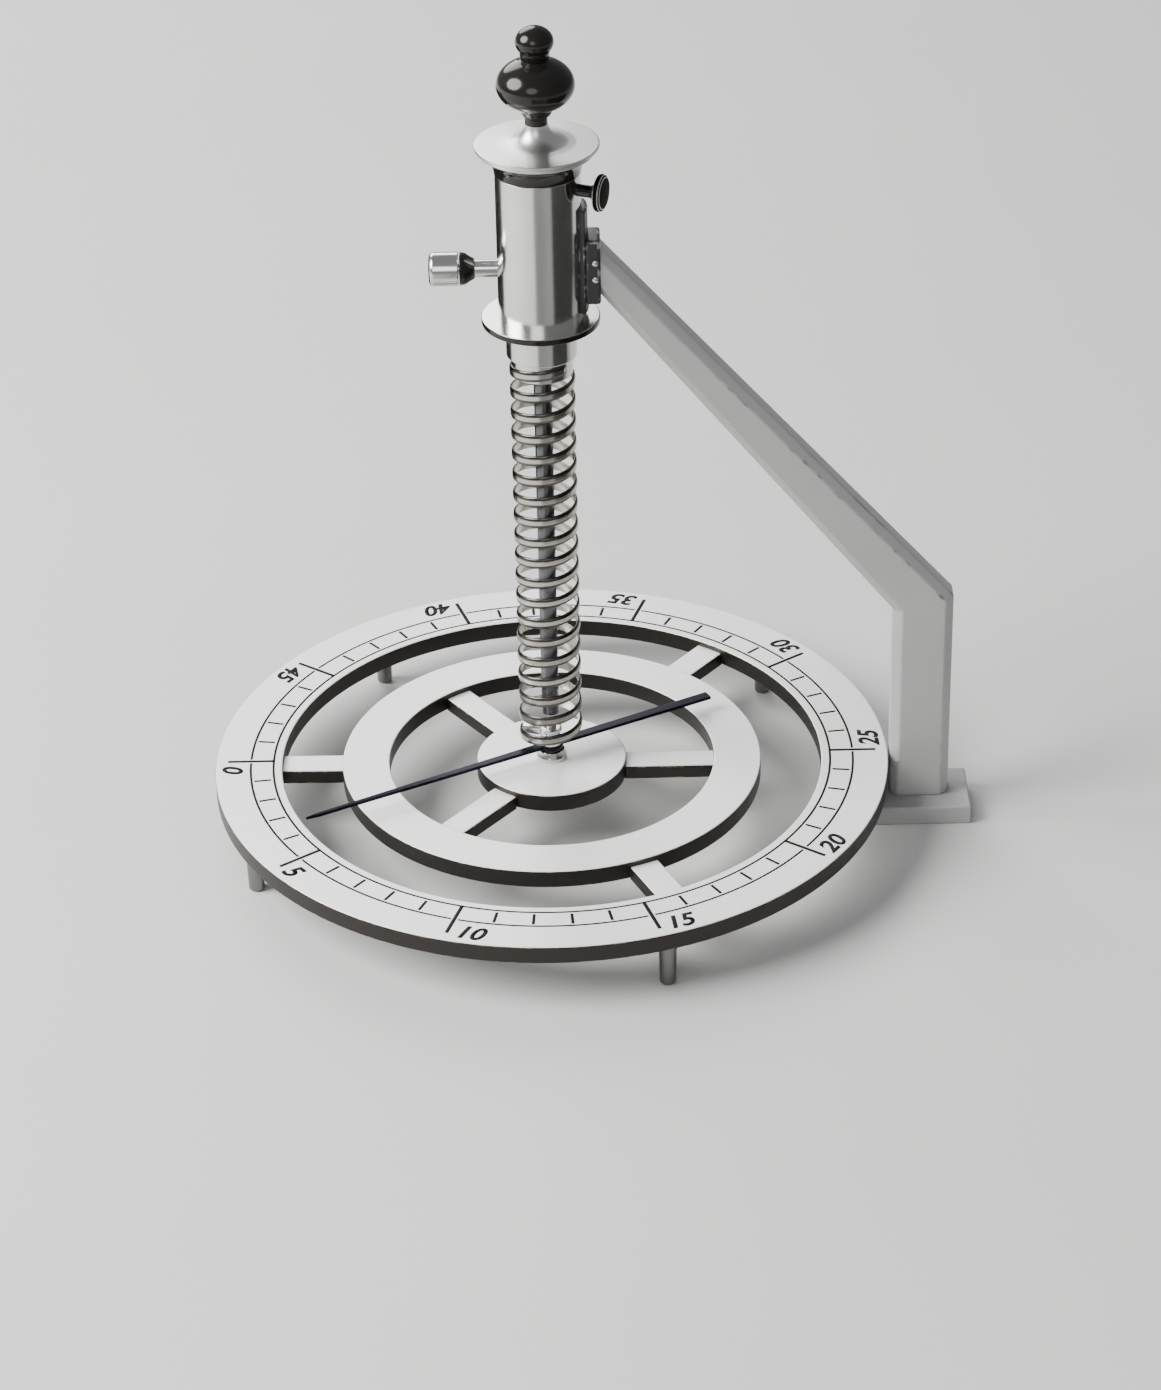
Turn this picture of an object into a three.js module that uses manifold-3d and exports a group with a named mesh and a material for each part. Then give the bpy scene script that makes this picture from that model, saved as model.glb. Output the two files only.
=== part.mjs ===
// A helix galvanometer: a bimetal ribbon helix hangs from a torsion head over a divided
// dial, and carries a needle that turns with the heat of the current. Millimetres, +Z up.
import * as THREE from "three";
import { mergeVertices } from "three/addons/utils/BufferGeometryUtils.js";
import Module from "manifold-3d";

// ---------------------------------------------------------------- driving dimensions
const GAP = 0.3; // clearance between pieces that touch

const DIAL_RADIUS = 80; // divided ring, outside
const DIAL_TOP = 16; // dial face above the table
// Most heights are taken from the dial's face.
const above = (height) => DIAL_TOP + height;

const RING_THICKNESS = 4.4;
const SCALE_RING_INNER = 64.1;
const INNER_RING_OUTER = 49.8;
const INNER_RING_INNER = 38.6;
const CENTRE_DISC_RADIUS = 17.8;
const SPOKE_TOP = DIAL_TOP - 1.4;
const SPOKE_BOTTOM = SPOKE_TOP - 3.6;
const OUTER_SPOKE_WIDTH = 7.2;
const INNER_SPOKE_WIDTH = 6.8;
const OUTER_SPOKE_ANGLES = [52, 179, 295];
const INNER_SPOKE_ANGLES = [0, 126, 231];

const FOOT_CIRCLE = 75.8;
const FOOT_ANGLES = [45.8, 124, 203.6, 289.7];
const FOOT_RADIUS = 2.5;

const BASE_HEIGHT = 4.8;
const BASE_START = 66;
const BASE_END = 99.6;
const BASE_WIDTH = 17.6;
const RING_SCREW_X = 72.5;
const RING_BLOCK_END = 78.8;
const RING_BLOCK_WIDTH = 12;

const BAR_THICKNESS = 6.8; // bracket, across the dial's diameter
const UPRIGHT_INSIDE = 80.5;
const UPRIGHT_OUTSIDE = 94.5;
const ELBOW_INSIDE_Z = above(39.1);
const ELBOW_OUTSIDE_Z = above(42.8);
const ARM_END_X = 13.4;
const ARM_END_LOW = above(122.3);
const ARM_END_HIGH = above(133.9);
const BRACKET_SCREWS_X = [83.9, 91.1];

const SLEEVE_RADIUS = 9.5;
const SLEEVE_BORE = 7.6;
const FLANGE_RADIUS = 13.3;
const FLANGE_BOTTOM = above(115);
const FLANGE_THICKNESS = 1.5;
const SLEEVE_TOP = above(151.4);
const CAP_RADIUS = 13.75;
const CAP_RIM = above(158);
const NECK_RADIUS = 2.7;
const NECK_Z = above(163.2);
const BALL_Z = above(171.7);
const BALL_RADIUS = 8.7;
const BALL_HALF_HEIGHT = 6;
const BUTTON_Z = above(181.6);
const BUTTON_RADIUS = 4.25;
const BUTTON_HALF_HEIGHT = 3.44;

const COLLAR_RADIUS = 8;
const COLLAR_BOTTOM = above(106.9);
const SPIGOT_RADIUS = 5;
const SPIGOT_BOTTOM = above(101.5);
const GUIDE_ROD_RADIUS = 2.05;
const GUIDE_ROD_BOTTOM = above(12.3);

const HELIX_RADIUS = 7.25; // to the middle of the ribbon
const HELIX_PITCH = 5.33;
const HELIX_BOTTOM = above(7); // middle of the ribbon's lower end
const HELIX_TOP = above(105.2);
const HELIX_START = 164.6; // degrees, direction of the lower end
const RIBBON_WIDTH = 2.6;
const RIBBON_THICKNESS = 0.6;

const NEEDLE_ANGLE = 208.3; // degrees, direction of the pointed end
const NEEDLE_TIP = 64.8;
const NEEDLE_TAIL = 42.2;
const NEEDLE_BOTTOM = above(3);
const NEEDLE_THICKNESS = 0.8;
const NEEDLE_TAIL_WIDTH = 2.6;
const NEEDLE_TIP_WIDTH = 0.9;
const NEEDLE_EYE_RADIUS = 2.8;
const STAFF_RADIUS = 1.2;
const STAFF_TOP_RADIUS = 0.9;
const CUP_RADIUS = 3.6;

const CLAMP_Z = above(148);
const CLAMP_ANGLE = -20; // degrees, direction of the clamp screw
const CLAMP_SHANK_RADIUS = 1.4;
const CLAMP_HEAD_RADIUS = 4.2;
const CLAMP_HEAD_START = 13.6;
const CLAMP_HEAD_END = 15.6;

const TERMINAL_Z = above(128.1);
const STUD_RADIUS = 2;
const STUD_THREAD_RADIUS = 1.3;
const STUD_SHOULDER = 14.2;
const TERMINAL_KNOB_RADIUS = 3.85;
const TERMINAL_KNOB_START = 18.1;
const TERMINAL_KNOB_END = 24.8;

// ---------------------------------------------------------------- solids and their cuts
const wasm = await Module();
wasm.setup();

const radians = (degrees) => (degrees * Math.PI) / 180;

// The closed solid that a geometry bounds.
function solidOf(geometry) {
  const bare = geometry.clone();
  bare.deleteAttribute("normal");
  bare.deleteAttribute("uv");
  const merged = mergeVertices(bare);
  const vertProperties = merged.attributes.position.array;
  const triVerts = new Uint32Array(merged.index.array);
  return new wasm.Manifold(new wasm.Mesh({ numProp: 3, vertProperties, triVerts }));
}

function geometryOf(solid) {
  const mesh = solid.getMesh();
  const geometry = new THREE.BufferGeometry();
  geometry.setAttribute("position", new THREE.BufferAttribute(mesh.vertProperties, 3));
  geometry.setIndex(new THREE.BufferAttribute(mesh.triVerts, 1));
  geometry.computeVertexNormals();
  return geometry;
}

const cut = (body, ...tools) =>
  geometryOf(tools.reduce((solid, tool) => solid.subtract(solidOf(tool)), solidOf(body)));

const join = (...pieces) =>
  geometryOf(pieces.map(solidOf).reduce((solid, piece) => solid.add(piece)));

const common = (a, b) => geometryOf(solidOf(a).intersect(solidOf(b)));

// A profile of [radius, height] points turned about Z. A profile that leaves the axis
// open is a ring, and closes on its first point.
function turned(profile, segments = 24) {
  const onAxis = profile[0][0] === 0;
  const points = onAxis ? profile : [...profile, profile[0]];
  const outline = points.map(([radius, height]) => new THREE.Vector2(radius, height));
  return new THREE.LatheGeometry(outline, segments).rotateX(Math.PI / 2);
}

// A round rod along Z.
function rod(radius, bottom, top, segments = 16) {
  return turned(
    [
      [0, bottom],
      [radius, bottom],
      [radius, top],
      [0, top],
    ],
    segments,
  );
}

// A flat ring about Z.
function ring(outer, inner, bottom, top, segments = 32) {
  return turned(
    [
      [inner, bottom],
      [outer, bottom],
      [outer, top],
      [inner, top],
    ],
    segments,
  );
}

// An outline of [x, y] points made into a plate along Z with chamfered edges.
function plate(outline, bottom, top, chamfer) {
  const shape = new THREE.Shape(outline.map(([x, y]) => new THREE.Vector2(x, y)));
  const bevel = { bevelSegments: 1, bevelThickness: chamfer, bevelSize: chamfer, bevelOffset: -chamfer };
  const depth = top - bottom - 2 * chamfer;
  const geometry = new THREE.ExtrudeGeometry(shape, { depth, bevelEnabled: chamfer > 0, ...bevel });
  return geometry.translate(0, 0, bottom + chamfer);
}

// A rectangular bar along X, centred on the X axis.
function bar(start, end, width, bottom, top, chamfer = 0.4) {
  const half = width / 2;
  const outline = [
    [start, -half],
    [end, -half],
    [end, half],
    [start, half],
  ];
  return plate(outline, bottom, top, chamfer);
}

// Points of an ellipse's arc in [radius, height], from one angle to another in degrees.
function arc(radius, halfHeight, height, from, to, steps) {
  return Array.from({ length: steps + 1 }, (_, i) => {
    const angle = radians(from + ((to - from) * i) / steps);
    return [radius * Math.cos(angle), height + halfHeight * Math.sin(angle)];
  });
}

// A countersunk screw that points up, its slotted head at the bottom.
function countersunkScrew(shank, head, bottom, top) {
  const body = turned(
    [
      [0, bottom],
      [head, bottom],
      [head, bottom + 0.4],
      [shank, bottom + 0.4 + head - shank],
      [shank, top],
      [0, top],
    ],
    16,
  );
  const slot = new THREE.BoxGeometry(2 * head + 1, 0.5, 0.8).translate(0, 0, bottom);
  return cut(body, slot);
}

// The hole that a countersunk screw passes through, with clearance all round.
function countersunkHole(shank, head, bottom, top) {
  return turned(
    [
      [0, bottom - 1],
      [head + GAP, bottom - 1],
      [head + GAP, bottom + 0.4 + GAP],
      [shank + GAP, bottom + 0.4 + GAP + head - shank],
      [shank + GAP, top + GAP],
      [0, top + GAP],
    ],
    16,
  );
}

// ---------------------------------------------------------------- materials
const metal = (color, roughness) =>
  new THREE.MeshStandardMaterial({ color, roughness, metalness: 0.9 });

const silveredBrass = metal(0xd8d6cf, 0.42);
const nickelledBrass = metal(0xa9a8a3, 0.22);
const darkBronze = metal(0x34302d, 0.25);
const ironPaintedGrey = metal(0x6f7170, 0.5);
const bluedSteel = metal(0x1d2026, 0.3);
const brightSteel = metal(0xb8babd, 0.25);
const bimetal = metal(0xb5b1a8, 0.3);
const agate = new THREE.MeshStandardMaterial({ color: 0x8c3b2c, roughness: 0.15, metalness: 0 });

// ---------------------------------------------------------------- assembly frame
// The part's origin is the middle of its footprint on the table. The dial's axis stands a
// little to the left of it, because the bracket's base reaches out on the right.
const galvanometer = new THREE.Group();
galvanometer.name = "galvanometer";
const dialFrame = new THREE.Group();
dialFrame.position.x = -(BASE_END - DIAL_RADIUS) / 2;
galvanometer.add(dialFrame);

function place(name, geometry, material, parent = dialFrame) {
  const mesh = new THREE.Mesh(geometry, material);
  mesh.name = name;
  parent.add(mesh);
  return mesh;
}

// ---------------------------------------------------------------- dial
const RING_BOTTOM = DIAL_TOP - RING_THICKNESS;
const FOOT_STUD_RADIUS = 1.2;
const FOOT_STUD_TOP = RING_BOTTOM + 2.2;
const SCREW_SHANK = 1.2;
const SCREW_HEAD = 2.5;
const SCREW_BOTTOM = 0.5;
const RING_SCREW_TOP = DIAL_TOP - 1.6;

const onFootCircle = (geometry, angle) =>
  geometry.translate(FOOT_CIRCLE, 0, 0).rotateZ(radians(angle));

function scaleRing() {
  const footHole = () => rod(FOOT_STUD_RADIUS + GAP, RING_BOTTOM - 1, FOOT_STUD_TOP + GAP);
  const footHoles = FOOT_ANGLES.map((angle) => onFootCircle(footHole(), angle));
  const screwHole = rod(SCREW_SHANK + GAP, RING_BOTTOM - 1, RING_SCREW_TOP + GAP);
  const body = ring(DIAL_RADIUS, SCALE_RING_INNER, RING_BOTTOM, DIAL_TOP, 80);
  return cut(body, ...footHoles, screwHole.translate(RING_SCREW_X, 0, 0));
}

function foot() {
  return turned([
    [0, 0],
    [FOOT_RADIUS - 0.7, 0],
    [FOOT_RADIUS - 0.4, 0.3],
    [FOOT_RADIUS, RING_BOTTOM - GAP],
    [FOOT_STUD_RADIUS, RING_BOTTOM - GAP],
    [FOOT_STUD_RADIUS, FOOT_STUD_TOP],
    [0, FOOT_STUD_TOP],
  ], 16);
}

// The end of a spoke that abuts a round edge stops where its corners still clear it.
const chordReach = (radius, width) => Math.sqrt(radius ** 2 - (width / 2) ** 2) - GAP;

function spoke(from, to, width) {
  return bar(from + GAP, chordReach(to, width), width, SPOKE_BOTTOM, SPOKE_TOP);
}

place("scale_ring", scaleRing(), silveredBrass);
place("inner_ring", ring(INNER_RING_OUTER, INNER_RING_INNER, RING_BOTTOM, DIAL_TOP, 64), silveredBrass);
place(
  "centre_disc",
  turned([
    [0, RING_BOTTOM],
    [CENTRE_DISC_RADIUS - 0.4, RING_BOTTOM],
    [CENTRE_DISC_RADIUS, RING_BOTTOM + 0.4],
    [CENTRE_DISC_RADIUS, DIAL_TOP - 0.4],
    [CENTRE_DISC_RADIUS - 0.4, DIAL_TOP],
    [0, DIAL_TOP],
  ], 40),
  silveredBrass,
);
OUTER_SPOKE_ANGLES.forEach((angle, i) => {
  const geometry = spoke(INNER_RING_OUTER, SCALE_RING_INNER, OUTER_SPOKE_WIDTH);
  place(`outer_spoke_${i + 1}`, geometry, silveredBrass).rotation.z = radians(angle);
});
INNER_SPOKE_ANGLES.forEach((angle, i) => {
  const geometry = spoke(CENTRE_DISC_RADIUS, INNER_RING_INNER, INNER_SPOKE_WIDTH);
  place(`inner_spoke_${i + 1}`, geometry, silveredBrass).rotation.z = radians(angle);
});
FOOT_ANGLES.forEach((angle, i) => {
  const mesh = place(`foot_${i + 1}`, foot(), nickelledBrass);
  mesh.position.set(FOOT_CIRCLE * Math.cos(radians(angle)), FOOT_CIRCLE * Math.sin(radians(angle)), 0);
});

// ---------------------------------------------------------------- base and bracket
const BRACKET_SCREW_TOP = 14;

const screwHoles = (screwTop, places) =>
  places.map((x) => countersunkHole(SCREW_SHANK, SCREW_HEAD, SCREW_BOTTOM, screwTop).translate(x, 0, 0));

function baseBlock() {
  const body = bar(BASE_START, BASE_END, BASE_WIDTH, 0, BASE_HEIGHT, 0.5);
  const holes = screwHoles(BASE_HEIGHT + 1, [RING_SCREW_X, ...BRACKET_SCREWS_X]);
  return cut(body, ...holes);
}

function ringBlock() {
  const bottom = BASE_HEIGHT + GAP;
  const body = bar(BASE_START + 1, RING_BLOCK_END, RING_BLOCK_WIDTH, bottom, RING_BOTTOM - GAP, 0.3);
  return cut(body, rod(SCREW_SHANK + GAP, BASE_HEIGHT - 1, RING_BOTTOM + 1).translate(RING_SCREW_X, 0, 0));
}

// The bracket's side outline, turned upright so that its thickness lies across the diameter.
function upright(geometry) {
  return geometry.rotateX(Math.PI / 2);
}

const TENON_HALF_THICKNESS = 1.3;
const TENON_END_X = 11.2;
const TENON_LOW = above(124.6);
const TENON_HIGH = above(132.6);
const PIN_RADIUS = 0.75;
const PIN_X = 12.3;
const PIN_HEIGHTS = [above(126.6), above(130.6)];
const LUG_HALF_WIDTH = 4;
const LUG_START_X = 10.3;
const LUG_LOW = above(120.4);
const LUG_HIGH = above(136);
const SADDLE_LOW = above(118);
const SADDLE_HIGH = above(143);
const SADDLE_OUTER = SLEEVE_RADIUS + 1.3;

const crossPin = (radius, halfLength, z) =>
  rod(radius, -halfLength, halfLength, 12).rotateX(Math.PI / 2).translate(PIN_X, 0, z);

function bracketBar() {
  const half = BAR_THICKNESS / 2;
  const foot = BASE_HEIGHT + GAP;
  const outline = [
    [UPRIGHT_INSIDE, foot],
    [UPRIGHT_OUTSIDE, foot],
    [UPRIGHT_OUTSIDE, ELBOW_OUTSIDE_Z],
    [ARM_END_X, ARM_END_HIGH],
    [ARM_END_X, ARM_END_LOW],
    [UPRIGHT_INSIDE, ELBOW_INSIDE_Z],
  ];
  const body = upright(plate(outline, -half, half, 0.9));
  const tenon = new THREE.BoxGeometry(
    ARM_END_X + 2 - TENON_END_X,
    2 * TENON_HALF_THICKNESS,
    TENON_HIGH - TENON_LOW,
  ).translate((ARM_END_X + 2 + TENON_END_X) / 2, 0, (TENON_HIGH + TENON_LOW) / 2);
  const holes = BRACKET_SCREWS_X.map((x) =>
    rod(SCREW_SHANK + GAP, foot - 1, BRACKET_SCREW_TOP + GAP).translate(x, 0, 0),
  );
  const pinHoles = PIN_HEIGHTS.map((z) => crossPin(PIN_RADIUS + GAP, 3, z));
  return cut(join(body, tenon), ...holes, ...pinHoles);
}

// A saddle plate brazed to the sleeve, with a mortised lug that takes the arm's tenon.
function columnLug() {
  const hoop = ring(SADDLE_OUTER, SLEEVE_RADIUS + GAP, SADDLE_LOW, SADDLE_HIGH, 40);
  const width = 2 * LUG_HALF_WIDTH;
  const sector = bar(SLEEVE_RADIUS - 1, SADDLE_OUTER + 1, width, SADDLE_LOW - 1, SADDLE_HIGH + 1, 0);
  const saddle = common(hoop, sector);
  const block = bar(LUG_START_X, ARM_END_X - GAP, width, LUG_LOW, LUG_HIGH, 0.7);
  const mortise = new THREE.BoxGeometry(
    4,
    2 * (TENON_HALF_THICKNESS + GAP),
    TENON_HIGH - TENON_LOW + 2 * GAP,
  ).translate(TENON_END_X - GAP + 2, 0, (TENON_HIGH + TENON_LOW) / 2);
  const pinHoles = PIN_HEIGHTS.map((z) => crossPin(PIN_RADIUS + 0.15, 6, z));
  return cut(join(saddle, block), mortise, ...pinHoles);
}

place("base_block", baseBlock(), ironPaintedGrey);
place("ring_block", ringBlock(), ironPaintedGrey);
place("ring_screw", countersunkScrew(SCREW_SHANK, SCREW_HEAD, SCREW_BOTTOM, RING_SCREW_TOP), brightSteel)
  .position.x = RING_SCREW_X;
BRACKET_SCREWS_X.forEach((x, i) => {
  const screw = countersunkScrew(SCREW_SHANK, SCREW_HEAD, SCREW_BOTTOM, BRACKET_SCREW_TOP);
  place(`bracket_screw_${i + 1}`, screw, brightSteel).position.x = x;
});
place("bracket_bar", bracketBar(), ironPaintedGrey);
place("column_lug", columnLug(), ironPaintedGrey);
PIN_HEIGHTS.forEach((z, i) => {
  place(`lug_pin_${i + 1}`, crossPin(PIN_RADIUS, LUG_HALF_WIDTH + 0.2, z), brightSteel);
});

// ---------------------------------------------------------------- sleeve
// A geometry made along +Z, laid along +X instead.
const alongX = (geometry) => geometry.rotateY(Math.PI / 2);

const FLANGE_TOP = FLANGE_BOTTOM + FLANGE_THICKNESS;
const STUD_SPIGOT_START = 7.9;

function sleeve() {
  const body = ring(SLEEVE_RADIUS, SLEEVE_BORE, FLANGE_TOP + GAP, SLEEVE_TOP, 40);
  const clampHole = alongX(rod(CLAMP_SHANK_RADIUS + GAP, 5, 12)).rotateZ(radians(CLAMP_ANGLE));
  const studHole = alongX(rod(STUD_THREAD_RADIUS + GAP, 5, 12)).rotateZ(Math.PI);
  return cut(body, clampHole.translate(0, 0, CLAMP_Z), studHole.translate(0, 0, TERMINAL_Z));
}

place("sleeve", sleeve(), nickelledBrass);
place(
  "lower_flange",
  ring(FLANGE_RADIUS, SLEEVE_BORE, FLANGE_BOTTOM, FLANGE_TOP, 40),
  nickelledBrass,
);

// ---------------------------------------------------------------- terminal
// The stud points outwards along its own +X, away from the bracket.
const terminal = new THREE.Group();
terminal.position.z = TERMINAL_Z;
terminal.rotation.z = Math.PI;
dialFrame.add(terminal);

const STUD_END = TERMINAL_KNOB_END - 2.2;

place(
  "terminal_stud",
  alongX(
    turned([
      [0, STUD_SPIGOT_START],
      [STUD_THREAD_RADIUS, STUD_SPIGOT_START],
      [STUD_THREAD_RADIUS, SLEEVE_RADIUS + GAP],
      [STUD_RADIUS, SLEEVE_RADIUS + GAP],
      [STUD_RADIUS, STUD_SHOULDER],
      [STUD_THREAD_RADIUS, STUD_SHOULDER],
      [STUD_THREAD_RADIUS, STUD_END],
      [0, STUD_END],
    ]),
  ),
  nickelledBrass,
  terminal,
);
place(
  "terminal_collar",
  alongX(
    turned([
      [STUD_THREAD_RADIUS + GAP, STUD_SHOULDER + GAP],
      [STUD_RADIUS + 0.3, STUD_SHOULDER + GAP],
      [TERMINAL_KNOB_RADIUS - 0.25, STUD_SHOULDER + 2.3],
      [TERMINAL_KNOB_RADIUS - 0.1, TERMINAL_KNOB_START - GAP],
      [STUD_THREAD_RADIUS + GAP, TERMINAL_KNOB_START - GAP],
    ]),
  ),
  darkBronze,
  terminal,
);
place(
  "terminal_knob",
  alongX(
    turned([
      [0, STUD_END + 0.8],
      [STUD_THREAD_RADIUS + GAP, STUD_END + 0.8],
      [STUD_THREAD_RADIUS + GAP, TERMINAL_KNOB_START],
      [TERMINAL_KNOB_RADIUS - 0.2, TERMINAL_KNOB_START],
      [TERMINAL_KNOB_RADIUS, TERMINAL_KNOB_START + 0.2],
      [TERMINAL_KNOB_RADIUS, TERMINAL_KNOB_END - 1],
      [TERMINAL_KNOB_RADIUS - 0.9, TERMINAL_KNOB_END - 0.2],
      [0, TERMINAL_KNOB_END],
    ]),
  ),
  nickelledBrass,
  terminal,
);

// ---------------------------------------------------------------- clamp screw
const clamp = new THREE.Group();
clamp.position.z = CLAMP_Z;
clamp.rotation.z = radians(CLAMP_ANGLE);
dialFrame.add(clamp);

const CLAMP_TIP = 7.65; // just clear of the torsion head's plug
const CLAMP_TANG_RADIUS = 0.8;
const CLAMP_TANG_END = CLAMP_HEAD_END - 0.6;

place(
  "clamp_shank",
  alongX(
    turned([
      [0, CLAMP_TIP],
      [CLAMP_SHANK_RADIUS - 0.3, CLAMP_TIP],
      [CLAMP_SHANK_RADIUS, CLAMP_TIP + 0.3],
      [CLAMP_SHANK_RADIUS, CLAMP_HEAD_START - GAP],
      [CLAMP_TANG_RADIUS, CLAMP_HEAD_START - GAP],
      [CLAMP_TANG_RADIUS, CLAMP_TANG_END],
      [0, CLAMP_TANG_END],
    ], 20),
  ),
  brightSteel,
  clamp,
);
place(
  "clamp_head",
  alongX(
    turned([
      [0, CLAMP_TANG_END + GAP],
      [CLAMP_TANG_RADIUS + GAP, CLAMP_TANG_END + GAP],
      [CLAMP_TANG_RADIUS + GAP, CLAMP_HEAD_START],
      [CLAMP_HEAD_RADIUS - 0.5, CLAMP_HEAD_START],
      [CLAMP_HEAD_RADIUS, CLAMP_HEAD_START + 0.5],
      [CLAMP_HEAD_RADIUS, CLAMP_HEAD_END - 0.4],
      [CLAMP_HEAD_RADIUS - 0.4, CLAMP_HEAD_END],
      [0, CLAMP_HEAD_END],
    ]),
  ),
  darkBronze,
  clamp,
);

// ---------------------------------------------------------------- torsion head
// Cap, finial, plug, collar and guide rod turn together in the sleeve to set the zero.
const FINIAL_STUD_RADIUS = 1.2;
const FINIAL_STUD_BOTTOM = above(142);
const FINIAL_STUD_TOP = above(182.6);
const CAP_BOTTOM = SLEEVE_TOP + GAP;
const BALL_SEAT = NECK_Z + 1.4 + GAP;
const BUTTON_SEAT = BALL_Z + BALL_HALF_HEIGHT - 0.1;
const PLUG_RADIUS = SLEEVE_BORE - GAP;
const COLLAR_TOP = FLANGE_BOTTOM - GAP;
const ANCHOR_BOTTOM = SPIGOT_BOTTOM + 0.9;

const finialBore = (radius, bottom, top) => rod(radius, bottom, top);

// The cap's crown is a concave flare that sweeps up from the disc into the neck.
function crown() {
  const footRadius = 8.2;
  const footZ = CAP_RIM + 0.5;
  const sweep = 5;
  return Array.from({ length: sweep + 1 }, (_, i) => {
    const angle = radians((90 * i) / sweep);
    return [
      footRadius - (footRadius - NECK_RADIUS) * Math.sin(angle),
      NECK_Z - (NECK_Z - footZ) * Math.cos(angle),
    ];
  });
}

function cap() {
  const body = turned(
    [
      [0, CAP_BOTTOM],
      [SLEEVE_RADIUS + 0.1, CAP_BOTTOM],
      [SLEEVE_RADIUS + 0.4, CAP_BOTTOM + 1.6],
      [SLEEVE_RADIUS + 1.6, CAP_BOTTOM + 3.8],
      [CAP_RADIUS - 0.5, CAP_RIM - 1],
      [CAP_RADIUS, CAP_RIM - 0.7],
      [CAP_RADIUS, CAP_RIM - 0.2],
      [CAP_RADIUS - 0.3, CAP_RIM],
      ...crown(),
      [NECK_RADIUS, NECK_Z + 1.4],
      [0, NECK_Z + 1.4],
    ],
    36,
  );
  return cut(body, finialBore(FINIAL_STUD_RADIUS + GAP, CAP_BOTTOM - 1, NECK_Z + 3));
}

function finialBall() {
  const body = turned([
    [0, BALL_SEAT],
    [3.4, BALL_SEAT],
    [3.6, BALL_SEAT + 0.5],
    ...arc(BALL_RADIUS, BALL_HALF_HEIGHT, BALL_Z, -63, 66, 9),
    [3.1, BUTTON_SEAT],
    [0, BUTTON_SEAT],
  ]);
  return cut(body, finialBore(FINIAL_STUD_RADIUS + GAP, BALL_SEAT - 1, BUTTON_SEAT + 1));
}

function finialButton() {
  const body = turned(
    [
      [0, BUTTON_SEAT + GAP],
      [3.2, BUTTON_SEAT + GAP],
      ...arc(BUTTON_RADIUS, BUTTON_HALF_HEIGHT, BUTTON_Z, -38, 82, 7),
      [0, BUTTON_Z + BUTTON_HALF_HEIGHT],
    ],
    28,
  );
  return cut(body, finialBore(FINIAL_STUD_RADIUS + GAP, BUTTON_SEAT - 1, FINIAL_STUD_TOP + GAP));
}

// The plug fills the sleeve, and its long spigot carries the collar and the guide rod.
function headPlug() {
  const body = turned([
    [0, SPIGOT_BOTTOM],
    [SPIGOT_RADIUS, SPIGOT_BOTTOM],
    [SPIGOT_RADIUS, COLLAR_TOP + GAP],
    [PLUG_RADIUS, COLLAR_TOP + GAP],
    [PLUG_RADIUS, SLEEVE_TOP],
    [0, SLEEVE_TOP],
  ]);
  const finialHole = finialBore(FINIAL_STUD_RADIUS + GAP, FINIAL_STUD_BOTTOM - GAP, SLEEVE_TOP + 1);
  const rodHole = rod(GUIDE_ROD_RADIUS + GAP, SPIGOT_BOTTOM - 1, SPIGOT_BOTTOM + 6.5, 20);
  return cut(body, finialHole, rodHole);
}

function guideRod() {
  const body = rod(GUIDE_ROD_RADIUS, GUIDE_ROD_BOTTOM, SPIGOT_BOTTOM + 6, 20);
  return cut(body, rod(STAFF_TOP_RADIUS + GAP, GUIDE_ROD_BOTTOM - 1, GUIDE_ROD_BOTTOM + 6));
}

place("cap", cap(), nickelledBrass);
place("finial_ball", finialBall(), darkBronze);
place("finial_button", finialButton(), darkBronze);
place("finial_stud", finialBore(FINIAL_STUD_RADIUS, FINIAL_STUD_BOTTOM, FINIAL_STUD_TOP), brightSteel);
place("head_plug", headPlug(), nickelledBrass);
place(
  "head_collar",
  ring(COLLAR_RADIUS, SPIGOT_RADIUS + GAP, COLLAR_BOTTOM, COLLAR_TOP, 36),
  nickelledBrass,
);
const INSIDE_HELIX = HELIX_RADIUS - RIBBON_THICKNESS / 2 - GAP;
place(
  "helix_anchor",
  ring(INSIDE_HELIX, SPIGOT_RADIUS + GAP, ANCHOR_BOTTOM, COLLAR_BOTTOM - GAP, 28),
  nickelledBrass,
);
place("guide_rod", guideRod(), brightSteel);

// ---------------------------------------------------------------- helix
// A straight strip is wound into a right-handed helix: its length becomes the turning
// angle, its width stays upright and its thickness stays radial.
function helixRibbon() {
  const turns = (HELIX_TOP - HELIX_BOTTOM) / HELIX_PITCH;
  const stepsPerTurn = 14;
  const half = RIBBON_WIDTH / 2;
  const skin = RIBBON_THICKNESS / 2;
  const section = new THREE.Shape([
    new THREE.Vector2(-half, -skin),
    new THREE.Vector2(half, -skin),
    new THREE.Vector2(half, skin),
    new THREE.Vector2(-half, skin),
  ]);
  const steps = Math.round(turns * stepsPerTurn);
  const strip = new THREE.ExtrudeGeometry(section, { depth: turns, steps, bevelEnabled: false });
  const position = strip.attributes.position;
  for (let i = 0; i < position.count; i += 1) {
    const turn = position.getZ(i);
    const radius = HELIX_RADIUS + position.getY(i);
    const angle = radians(HELIX_START) + 2 * Math.PI * turn;
    const height = HELIX_BOTTOM + HELIX_PITCH * turn + position.getX(i);
    position.setXYZ(i, radius * Math.cos(angle), radius * Math.sin(angle), height);
  }
  strip.computeVertexNormals();
  return strip;
}

place("helix", helixRibbon(), bimetal);

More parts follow.
